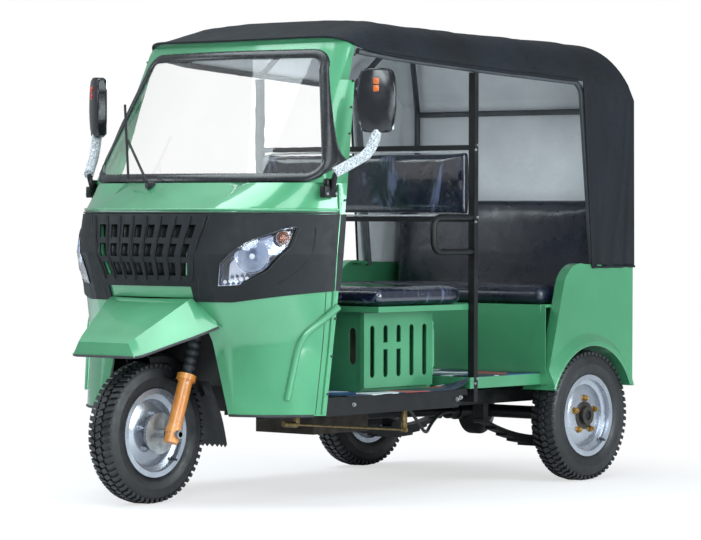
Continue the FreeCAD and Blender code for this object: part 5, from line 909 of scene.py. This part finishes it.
# Node, name, material, the most that the cloth may stand out in millimetres.
PADS = (("driver_cushion", "driver_seat_pad", film, 10), ("driver_backrest", "driver_back_pad", film, 10),
        ("bench_cushion", "bench_seat_pad", vinyl, 14), ("bench_backrest", "bench_back_pad", vinyl, 14))
PAD_INSET = 5
PAD_PRESSURE = 4.0
PAD_FRAMES = 20
PAD_CROWN = 4
for node, name, material, swell in PADS:
    low, high = (Vector(corner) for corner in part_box(node))
    middle = (low + high) / 2
    bm = merged_copy(node)
    for vert in bm.verts:
        for axis in range(3):
            shrink = 1 - 2 * PAD_INSET * MM / (high - low)[axis]
            vert.co[axis] = middle[axis] + (vert.co[axis] - middle[axis]) * shrink
    mesh = bpy.data.meshes.new(name)
    bm.to_mesh(mesh)
    bm.free()
    pad = bpy.data.objects.new(name, mesh)
    scene.collection.objects.link(pad)
    remesh = pad.modifiers.new("even_faces", "REMESH")
    remesh.mode = "VOXEL"
    remesh.voxel_size = 9 * MM
    even = live_mesh(pad)
    bpy.data.objects.remove(pad)
    bpy.data.meshes.remove(mesh)
    even.name = name
    even.materials.clear()
    pad = link_piece(name, even, "cab", material)
    before = [vert.co.copy() for vert in even.vertices]
    cloth = pad.modifiers.new("blown_up", "CLOTH")
    cloth.settings.use_pressure = True
    cloth.settings.uniform_pressure_force = PAD_PRESSURE
    cloth.settings.effector_weights.gravity = 0
    cloth.settings.quality = 4
    for number in range(1, PAD_FRAMES + 1):
        scene.frame_set(number)
    blown = live_mesh(pad)
    pad.modifiers.clear()
    for vert, old, new in zip(even.vertices, before, blown.vertices):
        move = new.co - old
        vert.co = old + move * min(1.0, swell * MM / max(move.length, 1e-9))
    bpy.data.meshes.remove(blown)
    scene.frame_set(1)
    bm = bmesh.new()
    bm.from_mesh(even)
    bmesh.ops.smooth_vert(bm, verts=bm.verts, factor=0.5, use_axis_x=True, use_axis_y=True, use_axis_z=True)
    limits = tuple(zip(low + Vector((0.5, 0.5, 0.5)) * MM, high + Vector((0, 0, PAD_CROWN)) * MM))
    for vert in bm.verts:
        vert.co = [min(max(value, least), most) for value, (least, most) in zip(vert.co, limits)]
    for face in bm.faces:
        face.smooth = True
    bm.to_mesh(even)
    bm.free()
    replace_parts(pad, node)
low, high = (Vector(corner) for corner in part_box("driver_backrest"))
RIM_INSET, RIM_CORNER = 4 * MM, 20 * MM
rim = ((low.x + RIM_INSET, low.z + RIM_CORNER), (low.x + RIM_INSET, high.z - RIM_CORNER),
       (low.x + RIM_CORNER, high.z - RIM_INSET), (high.x - RIM_CORNER, high.z - RIM_INSET),
       (high.x - RIM_INSET, high.z - RIM_CORNER), (high.x - RIM_INSET, low.z + RIM_CORNER),
       (high.x - RIM_CORNER, low.z + RIM_INSET), (low.x + RIM_CORNER, low.z + RIM_INSET))
wire("driver_back_piping", [Vector((x, (low.y + high.y) / 2, z)) for x, z in rim], 4, "cab", piping,
     closed=True)

# Canopy: one cover of coated canvas over the hoops, dark outside and pale grey inside. It runs from the
# screen header over the roof, down the back and round the rear corners, where it hangs in soft folds.
# Its threads are drawn 1.4 mm apart, coarser than real ones, so that they show.
canvas, tree, surface = start_material("dark_coated_canvas", IOR=1.45, Specular_IOR_Level=0.3)
place = add_node(tree, "TexCoord", {}).outputs["Object"]
vary(tree, surface["Base Color"], 3.5, 5, ((0.3, "#0B0E13"), (0.7, "#151A21")), 0.6)
vary(tree, surface["Roughness"], 7, 4, ((0.3, 0.5), (0.7, 0.7)))
threads = add_node(tree, "TexChecker", {"Vector": place, "Scale": 700.0, "Color1": (1, 1, 1, 1),
                                        "Color2": (0, 0, 0, 1)})
low_threads = add_node(tree, "Math", {0: threads.outputs["Fac"], 1: 0.02}, operation="MULTIPLY")
wrinkle = add_node(tree, "TexNoise", {"Vector": place, "Scale": 9.0, "Detail": 6.0, "Distortion": 0.9})
relief = add_node(tree, "Math", {0: wrinkle, 1: low_threads}, operation="ADD")
add_node(tree, "Bump", {"Height": relief, "Distance": 0.012, "Strength": 0.8}, surface["Normal"])
lining = finish("pale_grey_lining", 5, ("#D3D6D9", "#E2E4E6"), (12, 0.6, 0.8), (30, 0.004), IOR=1.45)
# Hoop rows: distance back, half width and height at the edge, at the shoulder, and the crown's height.
BOWS = ((425, 529, 1726, 400, 1742, 1750), (588, 529, 1726, 415, 1776, 1794),
        (680, 542, 1706, 420, 1800, 1817), (791, 562, 1691, 410, 1830, 1842),
        (1258, 579, 1664, 420, 1812, 1832), (1960, 620, 1629, 430, 1796, 1818),
        (2170, 620, 1623, 430, 1792, 1812))
HOOP_ROWS = (680, 791, 1258, 1620, 1960)
LAST_BOW = 2170
SHOULDER_SHARE = 0.7
HEADER_Z, HEADER_END_X, HEADER_OUT = 1765, 519.0, 26
BACK = 2282
SLOPE_TOP = (2110, 1814)
SLOPE_LOW = (BACK, 1560)
HEM_HEIGHT = 873
# The curtain: where it leaves the roof's edge, and its foot's front corner.
CURTAIN_FROM = 1925
CURTAIN_FRONT, CURTAIN_X = 1985, 625
CANVAS_WALL = 2.5
ACROSS_STEPS, ROOF_STEPS, SLOPE_STEPS, BACK_STEPS = 72, 84, 14, 40
CORNER_STEP = ROOF_STEPS + SLOPE_STEPS
TOTAL_STEPS = CORNER_STEP + BACK_STEPS


def over_hoops(y, share):
    """The cover's section at a distance back; share runs from -1 at one edge to 1 at the other."""
    index = max(i for i in range(len(BOWS) - 1) if i == 0 or BOWS[i][0] <= y)
    low, high = BOWS[index], BOWS[index + 1]
    part = min(max((y - low[0]) / (high[0] - low[0]), 0), 1)
    edge_half, edge_height, half, height, top = [a + (b - a) * part for a, b in zip(low[1:], high[1:])]
    side = math.copysign(1, share)
    along = abs(share) / SHOULDER_SHARE
    if along < 1:
        return Vector((side * half * along, top - (top - height) * along ** 2))
    t = (abs(share) - SHOULDER_SHARE) / (1 - SHOULDER_SHARE)
    swell = 0.4 * (height - edge_height)
    shoulder, edge = Vector((half, height)), Vector((edge_half, edge_height))
    bend = (shoulder + edge) / 2 + Vector((swell, swell))
    place = shoulder * (1 - t) ** 2 + bend * 2 * t * (1 - t) + edge * t * t
    return Vector((side * place.x, place.y))


def header_line(share):
    """Where a line of the cover starts, over the screen's header."""
    y = 440.0
    for _ in range(5):
        x = abs(over_hoops(y, share).x)
        header = on_front(SCREEN, min(x, HEADER_END_X), HEADER_Z, HEADER_OUT).y / MM + FRONT_AXLE_Y
        y = header + max(0.0, x - HEADER_END_X)
    return y


def cover_point(share, step):
    """A place on the cover in millimetres; step counts from the header to the hem at the back."""
    start = header_line(share)
    end_height = over_hoops(LAST_BOW, share).y
    slope_share = (SLOPE_TOP[1] - end_height) / (SLOPE_TOP[1] - SLOPE_LOW[1])
    end = SLOPE_TOP[0] + slope_share * (BACK - SLOPE_TOP[0])
    if step <= ROOF_STEPS:
        y = start + (end - start) * step / ROOF_STEPS
        x, z = over_hoops(y, share)
        nearest = min(abs(y - row) for row in HOOP_ROWS)
        sag = 5 * math.exp(-(nearest / 45) ** 2) - 3
        ripple = 5 * field.noise(Vector((x * 0.004, y * 0.012, 3.1))) * min(1, (y - start) / 80)
        z += (sag + ripple) * (1 - 0.5 * abs(share)) if y > HOOP_ROWS[0] - 40 else ripple * 0.3
        edge = max(0.0, abs(share) - 0.86) / 0.14
        x += math.copysign(edge * 5 * field.noise(Vector((y * 0.011, share, 7.7))), x)
        return Vector((x, y, z))
    x = over_hoops(LAST_BOW, share).x
    if step <= CORNER_STEP:
        part = (step - ROOF_STEPS) / SLOPE_STEPS
        y = end + (BACK - end) * part
        z = end_height + (SLOPE_LOW[1] - end_height) * part
        inward = 6 * math.sin(math.pi * part) * (1 - abs(share))
        ripple = 4 * field.noise(Vector((x * 0.01, z * 0.01, 1.3))) * (1 - abs(share) ** 6)
        return Vector((x, y - inward, z + ripple))
    part = (step - CORNER_STEP) / BACK_STEPS
    z = SLOPE_LOW[1] + (HEM_HEIGHT - SLOPE_LOW[1]) * part
    wave = 7 * field.noise(Vector((x * 0.009, z * 0.003, 5.0))) - 3
    corner = 1 - abs(x) / 620
    flare = math.copysign(5 * part * max(0.0, 1 - corner * 20), x)
    return Vector((x + flare, BACK + wave * min(1, corner * 9) * min(1, part * 3), z))


def hanging(top, part_along, part_down, side):
    """A place on a side curtain below the cover's edge, in folds that deepen towards the hem."""
    foot = Vector((side * CURTAIN_X, CURTAIN_FRONT + (BACK - CURTAIN_FRONT) * part_along, HEM_HEIGHT))
    point = top.lerp(foot, part_down)
    deep = math.sin(math.pi * part_along) ** 0.5 * min(1, part_down * 4)
    fold = 9 * field.noise(Vector((part_along * 4.3, part_down * 1.1, side * 2.0))) * deep
    fold += 5 * math.sin(part_along * 19 + part_down * 1.3) * deep * part_down
    point.x += side * (fold - 3 * deep)
    return point


bm = bmesh.new()
bmesh.ops.create_grid(bm, x_segments=ACROSS_STEPS, y_segments=TOTAL_STEPS, size=0.5)
for vert in bm.verts:
    share = round(vert.co.x * ACROSS_STEPS) * 2 / ACROSS_STEPS
    vert.co = at(*cover_point(share, round((vert.co.y + 0.5) * TOTAL_STEPS)))
CURTAIN_START = min(step for step in range(TOTAL_STEPS) if cover_point(1, step).y > CURTAIN_FROM)
CURTAIN_STEPS = CORNER_STEP - CURTAIN_START
for side in (-1, 1):
    flap = bmesh.new()
    bmesh.ops.create_grid(flap, x_segments=CURTAIN_STEPS, y_segments=BACK_STEPS, size=0.5)
    for vert in flap.verts:
        column = round((vert.co.x + 0.5) * CURTAIN_STEPS)
        down = 0.5 - vert.co.y
        if column == CURTAIN_STEPS:
            point = cover_point(side, CORNER_STEP + round(down * BACK_STEPS))
        else:
            point = hanging(cover_point(side, CURTAIN_START + column), column / CURTAIN_STEPS, down, side)
        vert.co = at(*point)
    add_part(bm, flap)
bmesh.ops.remove_doubles(bm, verts=bm.verts, dist=0.4 * MM)
bmesh.ops.recalc_face_normals(bm, faces=bm.faces)
crown = max(bm.faces, key=lambda face: face.calc_center_median().z)
if crown.normal.z < 0:
    bmesh.ops.reverse_faces(bm, faces=bm.faces)
cover = add_piece("canopy_cover", bm, "cab", canvas, lining, sharp=70)
thickness = cover.modifiers.new("cloth_thickness", "SOLIDIFY")
thickness.thickness = CANVAS_WALL * MM
thickness.offset = -1
thickness.material_offset = 1
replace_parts(cover, "canopy_roof", "canopy_rear")
length_back = sum((cover_point(0, step + 1) - cover_point(0, step)).length for step in range(TOTAL_STEPS))
hem_lines = {"header": [cover_point(n / 20, 0) for n in range(-20, 21)]}
for side, name in SIDES:
    top = cover_point(side, CURTAIN_START)
    hem_lines["edge_" + name] = [cover_point(side, step) for step in range(0, CURTAIN_START + 1, 3)]
    hem_lines["curtain_" + name] = [hanging(top, 0, n / 12, side) for n in range(13)]
    hem_lines["foot_" + name] = [hanging(top, n / 16, 1, side) for n in range(17)]
for name, way in hem_lines.items():
    wire("canopy_hem_" + name, [at(*point) for point in way], 5, "cab", canvas)

# Hoops and uprights: steel tube under satin dark grey enamel, welded at the crossings.
# The cover's pale lining lies on them, so they show as thin dark lines from inside.
hoop_enamel = finish("dark_grey_tube_enamel", 12, ("#33363A", "#42464B"), (40, 0.3, 0.5), (300, 0.0003),
                     IOR=1.5)
smooth_copy("roof_frame", "roof_hoops", "cab", hoop_enamel, 50)
smooth_copy("rear_uprights", "rear_tubes", "cab", hoop_enamel, 50)

# Mirrors: a glossy black moulded shell with a tapered foot and a set-in glass behind, on a bent arm that
# is still wrapped in packing foam net. The shell's front carries an orange reflector, red on the far one.
gloss_shell = finish("gloss_mirror_shell", 5, ("#15161A", "#1F2024"), (20, 0.12, 0.24), (900, 0.0001),
                     IOR=1.5)
foam_net, tree, surface = start_material("packing_foam_net", Roughness=0.7, IOR=1.4, Sheen_Weight=0.2)
place = add_node(tree, "TexCoord", {}).outputs["Object"]
cells = add_node(tree, "TexVoronoi", {"Vector": place, "Scale": 110.0}, feature="DISTANCE_TO_EDGE")
add_node(tree, "ValToRGB", {"Fac": cells}, surface["Base Color"],
         ((0.0, "#E4E7EA"), (0.12, "#BFC4CA"), (0.3, "#8A9099")))
net_height = add_node(tree, "ValToRGB", {"Fac": cells}, stops=((0.0, 1.0), (0.3, 0.0)))
add_node(tree, "Bump", {"Height": net_height, "Distance": 0.004}, surface["Normal"])
reflector_red = finish("red_prism_reflector", 500, ("#A3211B", "#D2433A"), (200, 0.1, 0.25), (300, 0.0004),
                       IOR=1.5)
mirror_glass = finish("mirror_glass", 3, ("#BFC8CF", "#D5DCE2"), (6, 0.02, 0.05), (20, 0.0001), Metallic=1.0)
MIRROR_YAW = math.radians(32)
MIRROR_MIDDLE = (724, 472, 1511)
SHELL_WIDE, SHELL_DEEP, SHELL_HIGH = 145, 48, 240
SHARP_EDGE = 0.7
REFLECTOR_HEIGHTS = ((32, 56), (60, 84))
ARM = ((614, 338, 1168), (622, 343, 1182), (636, 335, 1242), (672, 385, 1275), (720, 456, 1322),
       (724, 472, 1400))
for side, name in SIDES:
    middle = at(side * MIRROR_MIDDLE[0], *MIRROR_MIDDLE[1:])
    stand = Matrix.Translation(middle) @ Matrix.Rotation(MIRROR_YAW * side, 4, "Z")
    shell = bmesh.new()
    bmesh.ops.create_cube(shell, size=1)
    bmesh.ops.subdivide_edges(shell, edges=shell.edges[:], cuts=6, use_grid_fill=True)
    for vert in shell.verts:
        x, y, z = vert.co * 2
        narrow = 1 - 0.12 * max(0.0, -z) ** 2 - 0.05 * max(0.0, z) ** 2
        round_off = (1 - 0.16 * abs(z) ** 6) * narrow
        thin = (1 - 0.30 * x * x - 0.24 * z * z) if y < 0 else 1
        vert.co = Vector((x * SHELL_WIDE * round_off, y * SHELL_DEEP * thin,
                          z * SHELL_HIGH * (1 - 0.05 * x ** 4))) / 2 * MM
    round_edges(shell, [edge for edge in shell.edges if edge.calc_face_angle(0) > SHARP_EDGE], 9, 4)
    glass = bmesh.new()
    rounded_block(glass, Vector((-62, 22.5, -108)) * MM, Vector((62, 25.5, 108)) * MM, 1.4)
    reflectors = bmesh.new()
    for low, high in REFLECTOR_HEIGHTS:
        rounded_block(reflectors, Vector((-11, -26.5, low)) * MM, Vector((11, -17, high)) * MM, 4, 3)
    for bm in (shell, glass, reflectors):
        bmesh.ops.transform(bm, matrix=stand, verts=bm.verts)
    shell_piece = add_piece(f"mirror_shell_{name}", shell, "cab", gloss_shell, sharp=45)
    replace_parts(shell_piece, f"mirror_{name}")
    add_piece(f"mirror_glass_{name}", glass, "cab", mirror_glass)
    add_piece(f"mirror_reflector_{name}", reflectors, "cab", amber if side > 0 else reflector_red)
    way = [at(side * x, y, z) for x, y, z in ARM]
    wire(f"mirror_arm_{name}", way, 11, "cab", black_enamel)
    wire(f"mirror_foam_{name}", way[2:], 20, "cab", foam_net)

# Rear lamps and fastenings: flat moulded lamps with an amber, a red and a white field, and plated bolts
# on the posts, along the sills and at the foot of the rear panel.
lamp_bands, tree, surface = start_material("banded_lamp_plastic", IOR=1.5, Roughness=0.15, Coat_Weight=0.5)
place = add_node(tree, "TexCoord", {}).outputs["Object"]
height = add_node(tree, "SeparateXYZ", {"Vector": place}).outputs["Z"]
band_height = add_node(tree, "MapRange", {"Value": height, "From Min": 0.6, "From Max": 0.79})
bands = add_node(tree, "ValToRGB", {"Fac": band_height}, surface["Base Color"],
                 ((0.0, "#E9ECEF"), (0.25, "#A3150F"), (0.66, "#D9791E")))
bands.color_ramp.interpolation = "CONSTANT"
prisms = add_node(tree, "TexChecker", {"Vector": place, "Scale": 240.0, "Color1": (1, 1, 1, 1),
                                       "Color2": (0, 0, 0, 1)})
add_node(tree, "Bump", {"Height": prisms.outputs["Fac"], "Distance": 0.0008}, surface["Normal"])
coat(lamp_bands, "tail_lamps")
BOLT_X = 575
POST_BOLTS = (432, 1068, 1351)
SILL_BOLTS = ((1172, 372), (1150, 366), (520, 372))
PANEL_BOLTS = (-560, -300, 0, 300, 560)
PANEL_Y, PANEL_Z = 2277, 858
bm = bmesh.new()
for side in (-1, 1):
    outward = ACROSS * side * MM
    for height in POST_BOLTS:
        for y, z in ((1264, height - 9), (1277, height + 9)):
            foot = at(side * BOLT_X, y, z)
            rod_between(bm, foot, foot + outward * 3, 5.5, 20)
            rod_between(bm, foot, foot + outward * 7, 4.5, 6)
    for y, z in SILL_BOLTS:
        foot = at(side * BOLT_X, y, z)
        rod_between(bm, foot, foot + outward * 3, 9, 20)
        rod_between(bm, foot, foot + outward * 9, 7, 6)
for x in PANEL_BOLTS:
    foot = at(x, PANEL_Y, PANEL_Z)
    rod_between(bm, foot, foot + Vector((0, 6, 0)) * MM, 6, 6)
round_edges(bm, bm.edges[:], 0.5)
add_piece("frame_bolts", bm, "cab", zinc)

size = {"cad": cad_box, "whole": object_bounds()}
